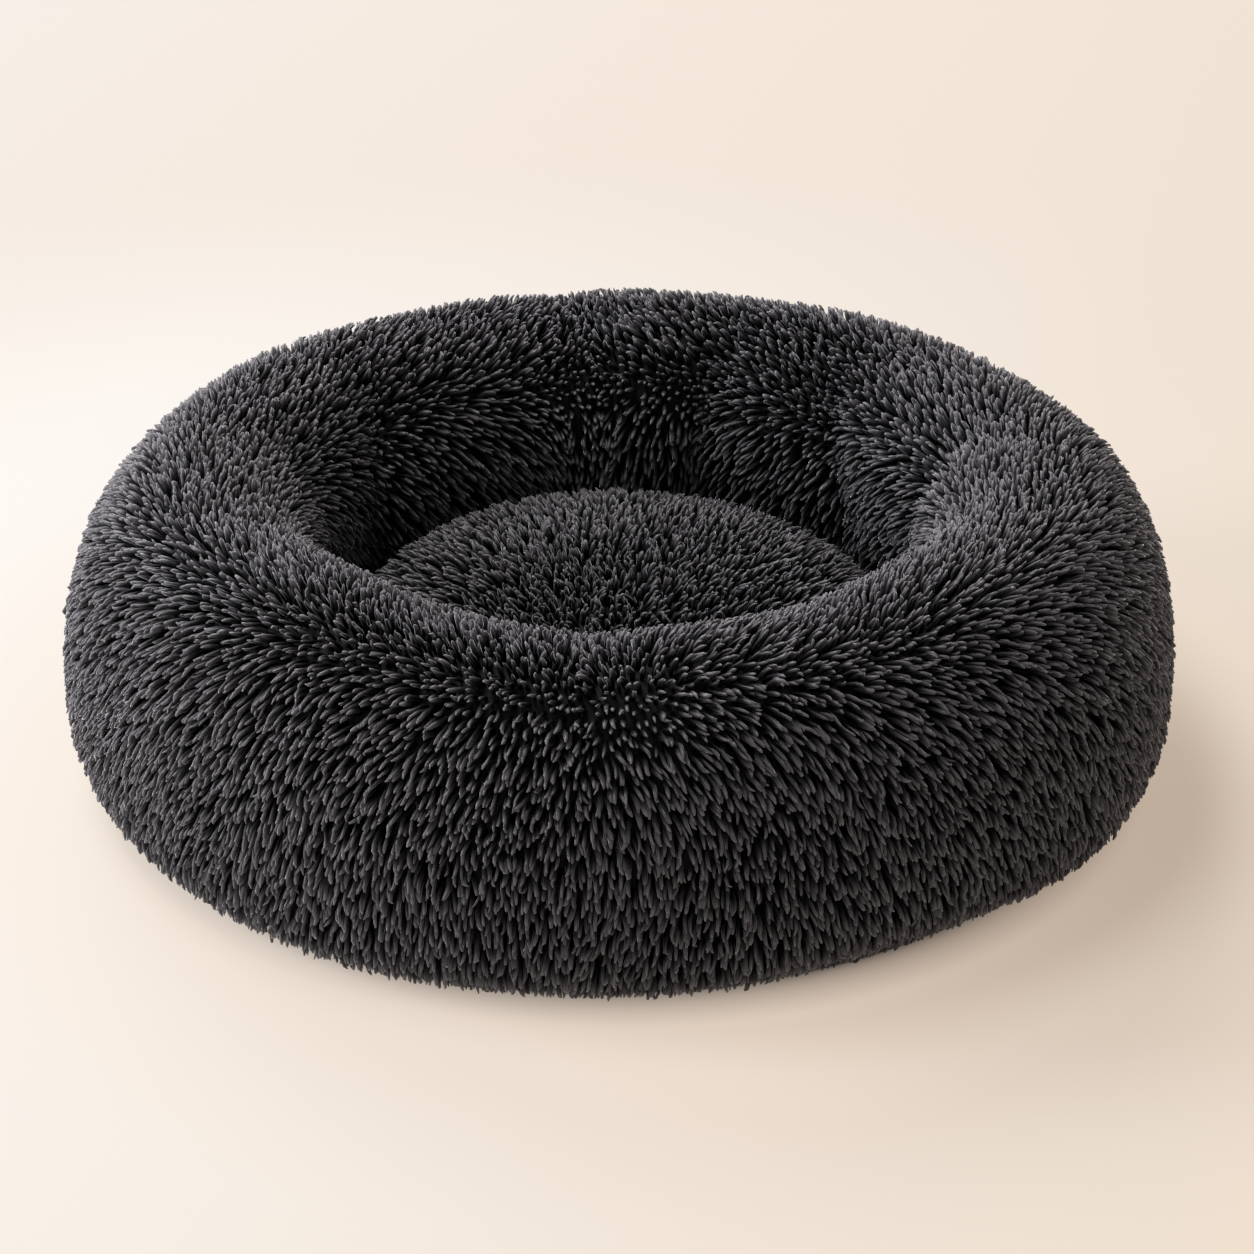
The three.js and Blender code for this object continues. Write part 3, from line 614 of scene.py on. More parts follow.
def woven_material(name, dark, light, thread_rate, roughness=0.85, strength=0.5):
    """Plain woven cloth: two crossed waves and a slow change of tone. The rate is in radians a metre."""
    material, tree, shader = new_material(name)
    place = add_node(tree, "TexCoord").outputs["Object"]
    inputs = {"Vector": place, "Scale": thread_rate / WAVE_RATE, "Distortion": 0.6, "Detail": 1.0}
    waves = [add_node(tree, "TexWave", inputs, bands_direction=way).outputs["Fac"] for way in ("X", "Y")]
    weave = maths(tree, "MAXIMUM", *waves)
    tone = maths(tree, "MULTIPLY_ADD", weave, WEAVE_SHARE, noise(tree, place, 9.0, 6.0))
    add_bump(tree, shader, weave, strength, FINE_RELIEF)
    colour = colour_ramp(tree, [(0.3, dark), (0.9, light)], tone)
    set_inputs(tree, shader, {"Base Color": colour, "Roughness": roughness, "Specular IOR Level": 0.2})
    return material


def fibre_material(name, dark, light):
    """Loose fibre or felt, as matted strands at several sizes."""
    material, tree, shader = new_material(name)
    place = add_node(tree, "TexCoord").outputs["Object"]
    strands = noise(tree, place, 60.0, 10.0, 1.5)
    add_bump(tree, shader, strands, 0.6, FIBRE_RELIEF)
    colour = colour_ramp(tree, [(0.3, dark), (0.7, light)], strands)
    set_inputs(tree, shader, {"Base Color": colour, "Roughness": 0.95})
    return material


def hard_material(name, dark, light, roughness, metallic, grain):
    """Moulded or cast hardware with a fine grain, worn lighter and rougher in patches."""
    material, tree, shader = new_material(name)
    place = add_node(tree, "TexCoord").outputs["Object"]
    wear = noise(tree, place, grain, 5.0)
    colour = colour_ramp(tree, [(0.35, dark), (0.68, light)], wear)
    rough = map_range(tree, wear, (0.0, 1.0), [roughness + change for change in WORN_SPAN])
    set_inputs(tree, shader, {"Base Color": colour, "Roughness": rough, "Metallic": metallic})
    return material


# Pile

def coarseness(azimuth):
    return FINEST + COARSER * smooth_step(*COARSE_SPAN, np.sin(np.radians(azimuth)))


def scatter(outline, pile):
    """Azimuths and places of tufts, spread over a turned outline with some jitter."""
    rng = np.random.default_rng(pile["seeds"][0])
    spacing = pile["spacing"]
    places = np.linspace(*pile["places"], 4000)
    round_it = np.linspace(0, 360, 721)
    crowding = np.cumsum(coarseness(round_it) ** -pile["thinning"])
    crowding = (crowding - crowding[0]) / (crowding[-1] - crowding[0])
    r, z = outline(places)
    run = np.concatenate([[0], np.cumsum(np.hypot(np.diff(r), np.diff(z)))])
    row_step = spacing * math.sqrt(3) / 2
    azimuths, runs = [], []
    for row in range(int(run[-1] / row_step)):
        along = (row + 0.5) * row_step
        count = max(int(2 * math.pi * np.interp(along, run, r) / spacing), 1)
        turn = (np.arange(count) + rng.uniform() + rng.uniform(-JITTER, JITTER, count)) / count
        azimuths.append(np.interp(turn % 1, crowding, round_it))
        runs.append(along + rng.uniform(-JITTER, JITTER, count) * row_step)
    runs = np.clip(np.concatenate(runs), 0, run[-1])
    return np.concatenate(azimuths) % 360, np.interp(runs, run, places)


def bent_tufts(roots, normals, comb, pile):
    """Start and end directions of tufts: near the normal at the root, then over with gravity and nap."""
    down = np.array([0.0, 0.0, -1.0])
    seed = pile["seeds"][1]
    rng = np.random.default_rng(seed)
    nap = (down + comb + pile["swirl"] * smooth_noise(roots, SWIRL_LENGTH, seed + 1)
           + pile["clump"] * smooth_noise(roots, CLUMP_LENGTH, seed + 2)
           + pile["loose"] * rng.normal(size=roots.shape))
    nap -= normals * dot(nap, normals)
    strength = np.minimum(np.linalg.norm(nap, axis=1, keepdims=True), NAP_LIMIT)
    nap = unit(nap)
    bent = np.radians(pile["lean"]) * strength
    first, last = bent * START_BEND, bent * END_BEND
    gather = (GATHER_SHARE * smooth_noise(roots, GATHER_LENGTH, seed + 3)
              + STRAY_SHARE * rng.normal(size=roots.shape)) * pile["wave"]
    starts = unit(normals * np.cos(first) + nap * np.sin(first) - gather * START_WAVE)
    return starts, unit(normals * np.cos(last) + nap * np.sin(last) + gather)


def tufts(roots, normals, comb, depth, pile):
    """What each tuft needs to be built: place, bend, length, width, flatness and tone."""
    starts, ends = bent_tufts(roots, normals, comb, pile)
    rng = np.random.default_rng(pile["seeds"][2])
    count = len(roots)
    stands = dot(starts + ends, normals)[:, 0] / 2
    length = np.minimum(depth / np.maximum(stands, LEAST_STAND), pile["longest"])
    return {
        "roots": roots,
        "starts": starts,
        "ends": ends,
        "length": length * rng.normal(1.0, LENGTH_VARIES, count).clip(*LENGTH_LIMITS),
        "width": pile["width"] * rng.normal(1.0, WIDTH_VARIES, count).clip(*WIDTH_LIMITS),
        "flat": rng.uniform(FLATTEST, 1.0, count),
        "spin": rng.uniform(0, math.pi, count),
        "tone": rng.beta(*TONE_POWERS, count),
        "sway": rng.normal(size=(count, 3)) * SWAY,
    }


def tuft_pattern(rings, sides=TUFT_SIDES):
    """Faces of one tuft, and the place of each face corner round the tuft, from 0 to 1."""
    faces = [tuple(reversed(range(sides)))]
    around = [tuple(k / sides for k in reversed(range(sides)))]
    for ring in range(rings - 1):
        for k in range(sides):
            k2 = (k + 1) % sides
            low, high = ring * sides, (ring + 1) * sides
            faces.append((low + k, low + k2, high + k2, high + k))
            around.append((k / sides, (k + 1) / sides, (k + 1) / sides, k / sides))
    faces.append(tuple((rings - 1) * sides + k for k in range(sides)))
    around.append(tuple(k / sides for k in range(sides)))
    return np.array(faces), np.array(around)


def tuft_points(part, shape, floor):
    """Corners of tufts, by tuft, ring and side, none of them under the floor."""
    mean = unit(part["starts"] + part["ends"])
    askew = np.roll(mean, 1, axis=1) + [0.3, 0.5, 0.1]
    across = unit(np.cross(mean, askew))
    cos, sin = np.cos(part["spin"])[:, None], np.sin(part["spin"])[:, None]
    rings = []
    for share, width_share in shape:
        bend = part["starts"] * (share - share ** 2 / 2) + part["ends"] * share ** 2 / 2
        centre = part["roots"] + part["length"][:, None] * bend
        centre += part["sway"] * math.sin(2 * math.pi * share) * share
        along = unit(part["starts"] * (1 - share) + part["ends"] * share)
        first = unit(across - along * dot(across, along))
        second = np.cross(along, first)
        wide = (first * cos + second * sin) * (part["width"] * width_share / 2)[:, None]
        thin = (second * cos - first * sin) * (part["width"] * part["flat"] * width_share / 2)[:, None]
        rings.append(np.stack([centre + wide, centre + thin, centre - wide, centre - thin], axis=1))
    points = np.stack(rings, axis=1)
    points[..., 2] = np.maximum(points[..., 2], floor)
    return points


def tufts_object(name, made, pick, shape, material, floor):
    """One mesh of the picked tufts. Its UV map gives each face corner its tone and its height."""
    part = {key: value[pick] for key, value in made.items()}
    points = tuft_points(part, shape, floor).reshape(-1, 3)
    pattern, around = tuft_pattern(len(shape))
    firsts = np.arange(len(part["roots"])) * len(shape) * TUFT_SIDES
    faces = (firsts[:, None, None] + pattern[None]).reshape(-1, TUFT_SIDES)
    mesh = bpy.data.meshes.new(name)
    mesh.vertices.add(len(points))
    mesh.vertices.foreach_set("co", points.reshape(-1).astype(np.float32))
    mesh.loops.add(faces.size)
    mesh.loops.foreach_set("vertex_index", faces.reshape(-1).astype(np.int32))
    mesh.polygons.add(len(faces))
    mesh.polygons.foreach_set("loop_start", np.arange(0, faces.size, TUFT_SIDES, dtype=np.int32))
    mesh.update(calc_edges=True)
    mesh.polygons.foreach_set("use_smooth", np.ones(len(faces), bool))
    heights = np.array([share for share, _ in shape])[pattern // TUFT_SIDES]
    heights[[0, -1]] += [0, 0, UV_CAP, UV_CAP]
    u = part["tone"][:, None, None] * UV_TONE + around[None] * UV_ROUND
    v = np.broadcast_to(heights[None], u.shape)
    layer = mesh.uv_layers.new(name="OFBake")
    layer.data.foreach_set("uv", np.stack([u, v], axis=-1).reshape(-1).astype(np.float32))
    return link(bpy.data.objects.new(name, mesh), material)


def ring_comb(azimuth, place, from_front, is_right):
    """The way the ring's pile is brushed besides down: round the ring, in or out, and up."""
    share = np.where(is_right, from_front / RIGHT_SPAN, (360 - from_front) / (360 - RIGHT_SPAN))
    (right, right_change), (left, left_change) = ROUND_RIGHT, ROUND_LEFT
    turned = np.where(is_right, right + right_change * share, left + left_change * share)
    turned *= hump(share, *ROUND_SEAMS)
    turned *= hump(place, *ROUND_PLACES)
    outward = UNDER_OUT * smooth_step(*UNDER_PLACES, place) - LOW_IN * hump(place, *LOW_PLACES)
    upward = CREST_UP * hump(place, *CREST_PLACES)
    return (at_azimuth(azimuth, 1.0, 0.0) * outward[:, None]
            + at_azimuth(azimuth + 90, 1.0, 0.0) * turned[:, None] + np.outer(upward, [0, 0, 1]))


def ring_pile(material):
    azimuth, place = scatter(ring_outline, RING_PILE)
    roots = ring_surface(azimuth, place, RING_PILE["depth"] + BURIED, BACKING_CONTACT - BURIED)
    normals = ring_normal(azimuth, place, RING_PILE["depth"])
    depth = dot(ring_surface(azimuth, place) - roots, normals)[:, 0]
    depth *= 1 - LOW_SHORTER * smooth_step(*SHORTER_PLACES, place)
    from_front = (azimuth - FRONT_SEAM) % 360
    is_right = from_front < RIGHT_SPAN
    made = tufts(roots, normals, ring_comb(azimuth, place, from_front, is_right), depth, RING_PILE)
    made["width"] *= coarseness(azimuth)
    for half, chosen, start, span in (("right", is_right, 0.0, RIGHT_SPAN),
                                      ("left", ~is_right, RIGHT_SPAN, 360 - RIGHT_SPAN)):
        sector = np.floor((from_front - start) / span * RING_SECTORS)
        for k in range(RING_SECTORS):
            piece = tufts_object(f"rim_pile_{half}_{k + 1}", made, chosen & (sector == k),
                                 RING_PILE["shape"], material, FLOOR_LIFT)
            dress(piece, "bed", "plush")


def cushion_pile(material):
    azimuth, place = scatter(cushion_outline, CUSHION_PILE)
    root_depth = CUSHION_PILE["depth"] + BURIED
    roots = cushion_surface(azimuth, place, root_depth)
    normals = cushion_normal(azimuth, place, CUSHION_PILE["depth"])
    reach = np.hypot(roots[:, 0], roots[:, 1])[:, None] / CUSHION_RADIUS
    comb = at_azimuth(azimuth, 1.0, 0.0) * CUSHION_OUT * reach
    made = tufts(roots, normals, comb, np.full(len(roots), root_depth), CUSHION_PILE)
    sector = np.floor(azimuth / 360 * CUSHION_SECTORS)
    for k in range(CUSHION_SECTORS):
        piece = tufts_object(f"cushion_pile_{k + 1}", made, sector == k,
                             CUSHION_PILE["shape"], material, CUSHION_BOTTOM)
        dress(piece, "cushion", "plush")


# Ring

def ring_backings(material):
    """The knitted backing of each half of the ring's cover, as a closed shell."""
    places = np.linspace(-2, 2, 97)
    half_gap = math.degrees(SEAT_GAP / 2 / THROAT_RADIUS)
    for half, start, end in (("right", FRONT_SEAM, BACK_SEAM), ("left", BACK_SEAM, FRONT_SEAM + 360)):
        azimuths = np.linspace(start + half_gap, end - half_gap, 145)[:, None]
        skins = []
        for depth, contact, foot, hem in RING_SKINS:
            turned_in = at_azimuth(azimuths, HEM_RADIUS - HEM_TURN, HEM_HEIGHT + hem)
            skin = ring_surface(azimuths, places, depth, contact, FOOT_HEIGHT + foot)
            skins.append(np.concatenate([turned_in, skin], axis=1))
        piece = swept_sections(f"rim_backing_{half}", there_and_back(*skins), False, material)
        dress(piece, "bed", "plush", f"rim_cover_{half}")


def ring_inside(azimuths, places, inset):
    """Sections of what lies inside the cover, flat below, at an inset from the liner's outside."""
    depth = COVER_THICKNESS + SOFT_GAP + inset
    contact = FLOOR_LIFT + HEM_THICKNESS + SOFT_GAP + inset
    foot = FOOT_HEIGHT + FOOT_THICKNESS + SOFT_GAP + inset
    return ring_surface(azimuths, places, depth, contact, foot)


def ring_liner(material):
    """The thin bag that holds the fibre, with a slit along its underside."""
    azimuths, places = np.arange(0, 360, 2.5)[:, None], np.linspace(-2, 2, 65)
    skins = []
    for inset in (0.0, LINER_THICKNESS):
        level = UNDERSIDE_HEIGHT + inset
        slit, heel = at_azimuth(azimuths, LINER_SLIT, level), at_azimuth(azimuths, LINER_HEEL, level)
        skins.append(np.concatenate([slit, ring_inside(azimuths, places, inset), heel], axis=1))
    piece = swept_sections("ring_liner_bag", there_and_back(*skins), True, material)
    dress(piece, "bed", "liner", "rim_liner")


def ring_filling(material):
    """Loose fibre that fills the liner, a little lumpy all over."""
    azimuths, places = np.arange(0, 360, 2.0)[:, None], np.linspace(-2, 2, 81)
    underside = at_azimuth(azimuths, FIBRE_BELOW, UNDERSIDE_HEIGHT + FIBRE_LIFT)
    sections = np.concatenate([underside, ring_inside(azimuths, places, FIBRE_INSET)], axis=1)
    points = sections.reshape(-1, 3)
    middle = unit(points * [1, 1, 0]) * CREST_RADIUS + [0, 0, THROAT_HEIGHT]
    lumps = smooth_noise(points, FIBRE_LUMP_LENGTH, 61)[:, :1] * FIBRE_LUMP
    points = points + unit(points - middle) * lumps
    piece = swept_sections("ring_fibre", points.reshape(sections.shape), True, material)
    dress(piece, "bed", "fibre", "rim_filling")


# Base

def base_cloth(material):
    """The coated base: a shallow dish with a flange, notched along the back for the zip."""
    low, flange_low = DOT_HEIGHT, ZIP_HEIGHT - CLOTH_THICKNESS / 2
    r = np.concatenate([np.linspace(0, FLAT_RADIUS - FLAT_MARGIN, 12),
                        np.linspace(FLAT_RADIUS, FLANGE_INNER, 8),
                        np.linspace(NOTCH_RADIUS, FLANGE_OUTER, 3)])
    z = low + (flange_low - low) * smooth_step(FLAT_RADIUS, FLANGE_INNER, r)
    outline = list(zip(r, z)) + list(zip(r, z + CLOTH_THICKNESS))[::-1]

    def notch(points):
        azimuth = np.degrees(np.arctan2(points[:, 1], points[:, 0]))
        reach = np.hypot(points[:, 0], points[:, 1])
        inside = (azimuth >= ZIP_START) & (azimuth <= ZIP_END) & (reach > NOTCH_RADIUS)
        reach = np.where(inside, NOTCH_RADIUS + (reach - NOTCH_RADIUS) * NOTCH_REST, reach)
        gap = math.degrees(SEAT_GAP / ZIP_RADIUS)
        before = (azimuth > ZIP_START - NOTCH_SIDE) & (azimuth < ZIP_START)
        after = (azimuth > ZIP_END) & (azimuth < ZIP_END + NOTCH_SIDE)
        azimuth = np.where(before, ZIP_START - gap, np.where(after, ZIP_END + gap, azimuth))
        return at_azimuth(azimuth, reach, points[:, 2])

    piece = turned_object("base_cloth", outline, 360, material, notch)
    dress(piece, "bed", "coated_fabric", "base_fabric")


def grip_dots(material):
    """Moulded dots on the underside of the base, each a low rounded button."""
    size = len(DOT_OUTLINE)
    turns = np.arange(DOT_STEPS)[:, None] * 360 / DOT_STEPS
    button = at_azimuth(turns, *DOT_OUTLINE.T).reshape(-1, 3)
    faces = grid_faces(DOT_STEPS, size, True, False)
    faces.append(tuple(i * size for i in range(DOT_STEPS)))
    faces.append(tuple(i * size + size - 1 for i in range(DOT_STEPS)))
    parts = [(button, faces)]
    for ring in range(1, DOT_RINGS + 1):
        for i in range(6 * ring):
            parts.append((button + at_azimuth(60 / ring * i, ring * DOT_PITCH, 0.0), faces))
    dress(joined_object("base_grip_dots", parts, material), "bed", "coated_fabric")


def wadding(material):
    """The needled wadding pad in the base, with a soft irregular edge."""
    def wobble(points):
        edge = smooth_step(*WADDING_EDGE, np.hypot(points[:, 0], points[:, 1]))[:, None]
        return points + smooth_noise(points, WADDING_LUMP_LENGTH, 71) * edge * WADDING_LUMP

    low, high = WADDING_LOW[2] + WADDING_INSET, WADDING_HIGH[2] - WADDING_INSET
    outline = disc_outline(WADDING_HIGH[0] - WADDING_MARGIN, low, high, 24)
    piece = turned_object("base_wadding_pad", outline, 160, material, wobble)
    dress(piece, "bed", "fibre", "base_wadding")


def floor_lining(cloth, sewing):
    """The woven lining under the cushion, with a ring of stitches that holds the ring's foot."""
    radius = LINING_HIGH[0]
    outline = disc_outline(radius, LINING_LOW[2], LINING_HIGH[2], 16)
    piece = turned_object("nest_lining_cloth", outline, 160, cloth)
    dress(piece, "bed", "woven_lining", "nest_floor_lining")
    stitches = stitch_ring(radius - STITCH_INSET, LINING_HIGH[2], 0, 360, STITCH_PITCH,
                           LINING_THREAD, LINING_THREAD)
    sewn = dress(joined_object("nest_lining_stitches", stitches, sewing), "bed", "woven_lining")


def base_seam(sewing):
    """Slanted stitches along the cover's hem, which join it to the flange of the base."""
    stitches = stitch_ring(HEM_RADIUS - SEAM_INSET, HEM_HEIGHT + SEAM_LIFT, ZIP_END - 359, ZIP_START - 1,
                           STITCH_PITCH, SEAM_THREAD, -SEAM_SINK, SEAM_SLANT)
    dress(joined_object("base_seam_stitches", stitches, sewing), "bed", "woven_lining")


# Zip

def zip_tape(side, inner, outer, cord_radius, stitch_radius, cloth, sewing):
    """A woven tape, thicker along its toothed edge, with the line of stitches that holds it."""
    r = np.concatenate([inner + TAPE_EDGE, outer - TAPE_EDGE[::-1]])
    half = np.where(np.abs(r - cord_radius) < CORD_WIDTH, CORD_HALF, TAPE_HALF)
    half[[0, -1]] = EDGE_HALF
    gap = math.degrees(SEAT_GAP / ZIP_RADIUS)
    azimuths = np.linspace(ZIP_START + gap, ZIP_END - gap, 141)[:, None]
    low, high = at_azimuth(azimuths, r, ZIP_HEIGHT - half), at_azimuth(azimuths, r, ZIP_HEIGHT + half)
    piece = swept_sections(f"zip_tape_cloth_{side}", there_and_back(low, high), False, cloth)
    dress(piece, "bed", "zip_tape", f"zip_tape_{side}")
    stitches = stitch_ring(stitch_radius, ZIP_HEIGHT - TAPE_HALF, ZIP_START + TAPE_STITCH_TURN,
                           ZIP_END - TAPE_STITCH_TURN, TAPE_STITCH_PITCH, ZIP_THREAD, -SEAM_SINK)
    sewn = dress(joined_object(f"zip_stitches_{side}", stitches, sewing), "bed", "zip_tape")


def tooth(azimuth, direction):
    """One moulded tooth: a rounded block with a narrower nose across the middle of the zip."""
    outward, sideways = at_azimuth(azimuth, 1.0, 0.0), at_azimuth(azimuth + 90, 1.0, 0.0)
    points = []
    for reach, half_width, half_height in TOOTH_SECTIONS:
        middle = outward * (ZIP_RADIUS + direction * reach) + [0, 0, ZIP_HEIGHT]
        for x, z in np.array(OCTAGON) * [half_width, half_height]:
            points.append(middle + sideways * x + [0, 0, z])
    return np.array(points), tube_faces(len(TOOTH_SECTIONS), len(OCTAGON))


def zip_teeth(nylon):
    inset = math.degrees((STOP_LENGTH + STOP_GAP) / ZIP_RADIUS)
    start, end = ZIP_START + inset, ZIP_END - inset
    count = int(math.radians(end - start) * ZIP_RADIUS / TOOTH_PITCH)
    pitch = (end - start) / count
    for side, direction, offset in (("outer", 1, 0.0), ("inner", -1, 0.5)):
        parts = [tooth(start + (i + offset) * pitch, direction) for i in range(count)]
        piece = joined_object(f"zip_teeth_row_{side}", parts, nylon)
        dress(piece, "bed", "zip_teeth", f"zip_teeth_{side}")


def zip_parts(cloth, nylon, metal, sewing):
    outer_edge, inner_edge = ZIP_RADIUS + ROW_EDGE, ZIP_RADIUS - ROW_EDGE
    zip_tape("outer", outer_edge + SEAT_GAP, FLANGE_OUTER, outer_edge,
             FLANGE_OUTER - OUTER_STITCH_INSET, cloth, sewing)
    zip_tape("inner", NOTCH_RADIUS + SEAT_GAP, inner_edge - SEAT_GAP, inner_edge,
             NOTCH_RADIUS + INNER_STITCH_INSET, cloth, sewing)
    zip_teeth(nylon)
    for name in ("zip_slider", "zip_pull", "zip_stop_closed_end", "zip_stop_open_end"):
        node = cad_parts[name]
        node.data.materials.clear()
        node.data.materials.append(metal)
        bevel = node.modifiers.new("worn_edges", "BEVEL")
        bevel.width = WORN_EDGE
        bevel.segments = 2
        bevel.limit_method = "ANGLE"


# Cushion

def cushion_backing(material):
    """The knitted backing of the cushion's cover, as a closed shell."""
    places = np.linspace(0, 2, 64)
    outer, inner = [np.stack(cushion_outline(places, depth, CUSHION_BOTTOM + lift), axis=1)
                    for depth, lift in CUSHION_SKINS]
    piece = turned_object("cushion_backing", np.concatenate([outer, inner[::-1]]), 160, material)
    dress(piece, "cushion", "plush", "cushion_cover")


def cushion_base(cloth, sewing):
    radius = CUSHION_BASE_HIGH[0]
    low = CUSHION_BASE_LOW[2] + CUSHION_BASE_LIFT
    outline = disc_outline(radius, low, CUSHION_BASE_HIGH[2], 12)
    piece = turned_object("cushion_base_cloth", outline, 128, cloth)
    dress(piece, "cushion", "woven_lining", "cushion_base")
    stitches = stitch_ring(radius - STITCH_INSET, low, 0, 360, STITCH_PITCH, CUSHION_THREAD,
                           -CUSHION_BASE_LIFT)
    sewn = dress(joined_object("cushion_base_stitches", stitches, sewing), "cushion", "woven_lining")


def cushion_filling(material):
    low = CUSHION_BASE_HIGH[2] + CUSHION_FIBRE_GAP
    places = np.linspace(0, 1.97, 48)
    upper = cushion_outline(places, CUSHION_FIBRE_DEPTH, CUSHION_BOTTOM + CUSHION_FIBRE_LIFT)
    lower = [(share * CUSHION_UNDER, low) for share in CUSHION_FIBRE_SHARES]

    def wobble(points):
        return points + smooth_noise(points, CUSHION_FIBRE_LENGTH, 81) * CUSHION_FIBRE_LUMP

    outline = np.concatenate([np.stack(upper, axis=1), lower])
    piece = turned_object("cushion_fibre", outline, 128, material, wobble)
    dress(piece, "cushion", "fibre", "cushion_filling")


# Floor, light and camera

def seen_rays(tree):
    """One for what a camera sees, also in metal and through glass, and zero for light on the pieces."""
    rays = add_node(tree, "LightPath").outputs
    either = maths(tree, "MAXIMUM", rays["Is Camera Ray"], rays["Is Glossy Ray"])
    return maths(tree, "MAXIMUM", either, rays["Is Transmission Ray"])


def glow(tree, colour):
    return add_node(tree, "Emission", {"Color": colour}).outputs["Emission"]


def mix_shaders(tree, share, first, second):
    return add_node(tree, "MixShader", {0: share, 1: first, 2: second}).outputs["Shader"]


def stage():
    """A pale floor, whose own colour lightens its shadows where a camera sees them. Its colours carry a
    painted falloff of the light from the left, and its glow carries a painted warm shade near the bed.
    """
    material, tree, shader = new_material("floor")
    place = add_node(tree, "TexCoord").outputs["Object"]
    across = vector_maths(tree, "DOT_PRODUCT", place, ACROSS)["Value"]
    reach = vector_maths(tree, "LENGTH", place)["Value"]
    share = map_range(tree, across, FLOOR_SPAN)
    # Floor colour with painted falloff: lighter on the left, darker and warmer on the right
    colour = colour_ramp(tree, FLOOR_COLOURS_PAINTED_FALLOFF, share)
    set_inputs(tree, shader, {"Base Color": colour, "Roughness": 0.9, "Specular IOR Level": 0.1})
    seen = seen_rays(tree)
    # Painted warm shade on the glow near the bed
    painted_shade = colour_ramp(tree, PAINTED_SHADE_TINTS, map_range(tree, reach, PAINTED_SHADE_SPAN))
    shaded_glow_colour = vector_maths(tree, "MULTIPLY", colour_ramp(tree, GLOW_COLOURS_PAINTED_FALLOFF, share), painted_shade)["Vector"]
    # Glow share that paints shadows lighter at the left and darker at the right
    glowing = map_range(tree, across, GLOW_SPAN, GLOW_SHARES, smooth=True)
    touching = maths(tree, "POWER", map_range(tree, reach, CONTACT_SPAN), CONTACT_POWER)
    near_share = maths(tree, "MULTIPLY", seen, maths(tree, "MULTIPLY", glowing, touching))
    near = mix_shaders(tree, near_share, shader.outputs["BSDF"], glow(tree, shaded_glow_colour))
    far_colour = colour_ramp(tree, FAR_COLOURS_PAINTED_FALLOFF, map_range(tree, across, FAR_SPAN))
    far_share = maths(tree, "MULTIPLY", seen, map_range(tree, reach, FAR_REACH, smooth=True))
    surface = mix_shaders(tree, far_share, near, glow(tree, far_colour))
    set_inputs(tree, tree.nodes["Material Output"], {"Surface": surface})
    bpy.ops.mesh.primitive_circle_add(vertices=96, radius=FLOOR_RADIUS, fill_type="NGON",
                                      location=(0, 0, -FLOOR_DROP))
    floor = bpy.context.object
    floor.name = "floor"
    floor.data.materials.append(material)


def area_light(name, place, target, size, power, colour):
    light = bpy.data.lights.new(name, "AREA")
    light.shape = "DISK"
    light.size = size
    light.energy = power
    light.color = colour
    obj = link(bpy.data.objects.new(name, light))
    obj.location = place
    obj.rotation_euler = (Vector(target) - Vector(place)).to_track_quat("-Z", "Y").to_euler()


def lights():
    world = bpy.data.worlds.new("studio")
    bpy.context.scene.world = world
    world.use_nodes = True
    tree = world.node_tree
    fill = tree.nodes["Background"]
    set_inputs(tree, fill, {"Color": FILL_COLOUR, "Strength": FILL_STRENGTH})
    shown = add_node(tree, "Background", {"Color": BACKDROP_COLOUR})
    mixed = mix_shaders(tree, seen_rays(tree), fill.outputs["Background"], shown.outputs["Background"])
    set_inputs(tree, tree.nodes["World Output"], {"Surface": mixed})
    for lamp in LAMPS:
        area_light(*lamp)
    back = bpy.data.lights.new("back", "SUN")
    back.energy = SUN_STRENGTH
    back.angle = math.radians(SUN_ANGLE)
    back.color = SUN_COLOUR
    sun = link(bpy.data.objects.new("back", back))
    sun.rotation_euler = Euler([math.radians(turn) for turn in SUN_TURN])


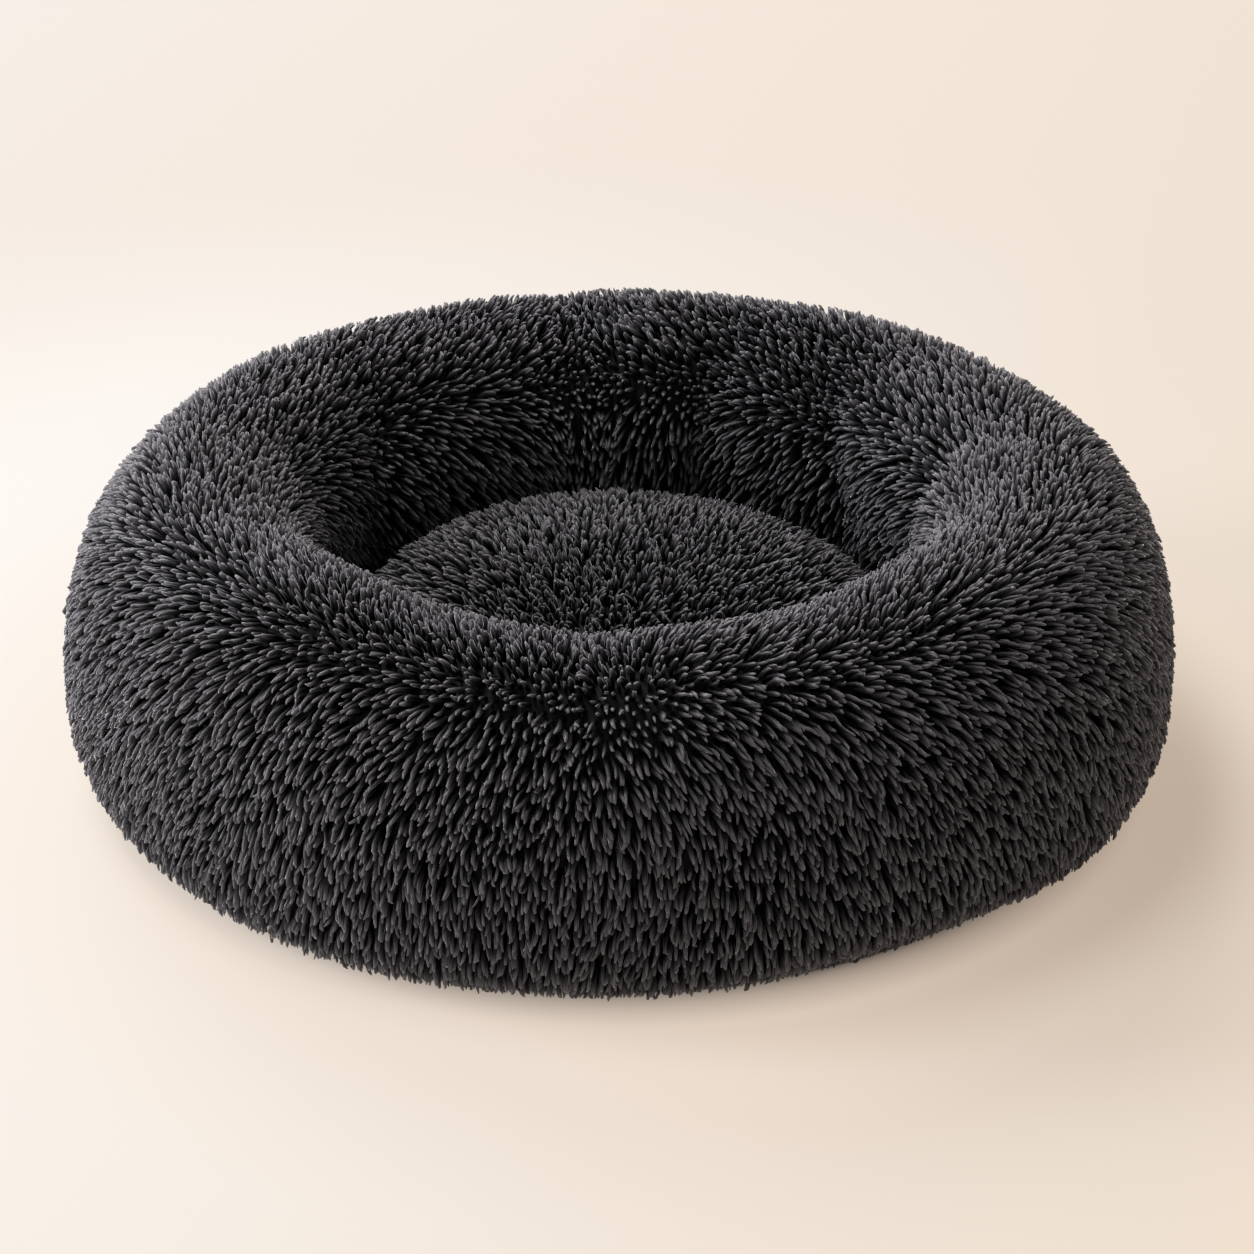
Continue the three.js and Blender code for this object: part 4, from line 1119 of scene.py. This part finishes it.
def camera():
    data = bpy.data.cameras.new("camera")
    data.lens = LENS
    data.sensor_width = SENSOR
    data.sensor_fit = "HORIZONTAL"
    obj = link(bpy.data.objects.new("camera", data))
    obj.location = CAMERA_PLACE
    obj.rotation_euler = Euler((math.radians(90 - CAMERA_PITCH), 0, -math.radians(CAMERA_YAW)))
    bpy.context.scene.camera = obj


bpy.context.scene.view_settings.view_transform = "Standard"
camera()
lights()
stage()

# Each plush: root colour darkened as painted shade, body colour, and end colour lightened as a painted
# highlight
plush = pile_material("plush", (0.016, 0.0152, 0.0172), (0.031, 0.0295, 0.0335), (0.150, 0.140, 0.156))
# The cushion's plush is a darker copy of the ring's plush, painted shade for the cushion down in the nest
shaded_cushion_plush = pile_material("shaded_cushion_plush", (0.008, 0.0076, 0.009), (0.022, 0.021, 0.024),
                              (0.128, 0.120, 0.133))
knit = woven_material("plush_backing", (0.006, 0.006, 0.0065), (0.013, 0.0125, 0.0135), 900)
coated = woven_material("coated_fabric", (0.010, 0.010, 0.011), (0.028, 0.028, 0.030), 1400, 0.6, 0.35)
lining = woven_material("woven_lining", (0.008, 0.008, 0.009), (0.024, 0.024, 0.026), 1600)
liner = woven_material("liner", (0.62, 0.60, 0.55), (0.82, 0.80, 0.75), 1200, 0.9, 0.3)
fibre = fibre_material("fibre", (0.70, 0.69, 0.66), (0.90, 0.89, 0.87))
rubber = hard_material("grip_rubber", (0.012, 0.012, 0.013), (0.030, 0.030, 0.032), 0.6, 0.0, 700)
tape = woven_material("zip_tape", (0.007, 0.007, 0.008), (0.022, 0.022, 0.024), 2200)
nylon = hard_material("zip_teeth", (0.010, 0.010, 0.011), (0.026, 0.026, 0.028), 0.35, 0.0, 500)
zinc = hard_material("zip_metal", (0.20, 0.205, 0.215), (0.42, 0.43, 0.45), 0.34, 1.0, 350)
sewing = woven_material("thread", (0.012, 0.012, 0.013), (0.040, 0.040, 0.042), 5000)

ring_backings(knit)
ring_pile(plush)
ring_liner(liner)
ring_filling(fibre)
base_cloth(coated)
grip_dots(rubber)
wadding(fibre)
floor_lining(lining, sewing)
base_seam(sewing)
zip_parts(tape, nylon, zinc, sewing)
cushion_backing(knit)
cushion_pile(shaded_cushion_plush)
cushion_base(lining, sewing)
cushion_filling(fibre)
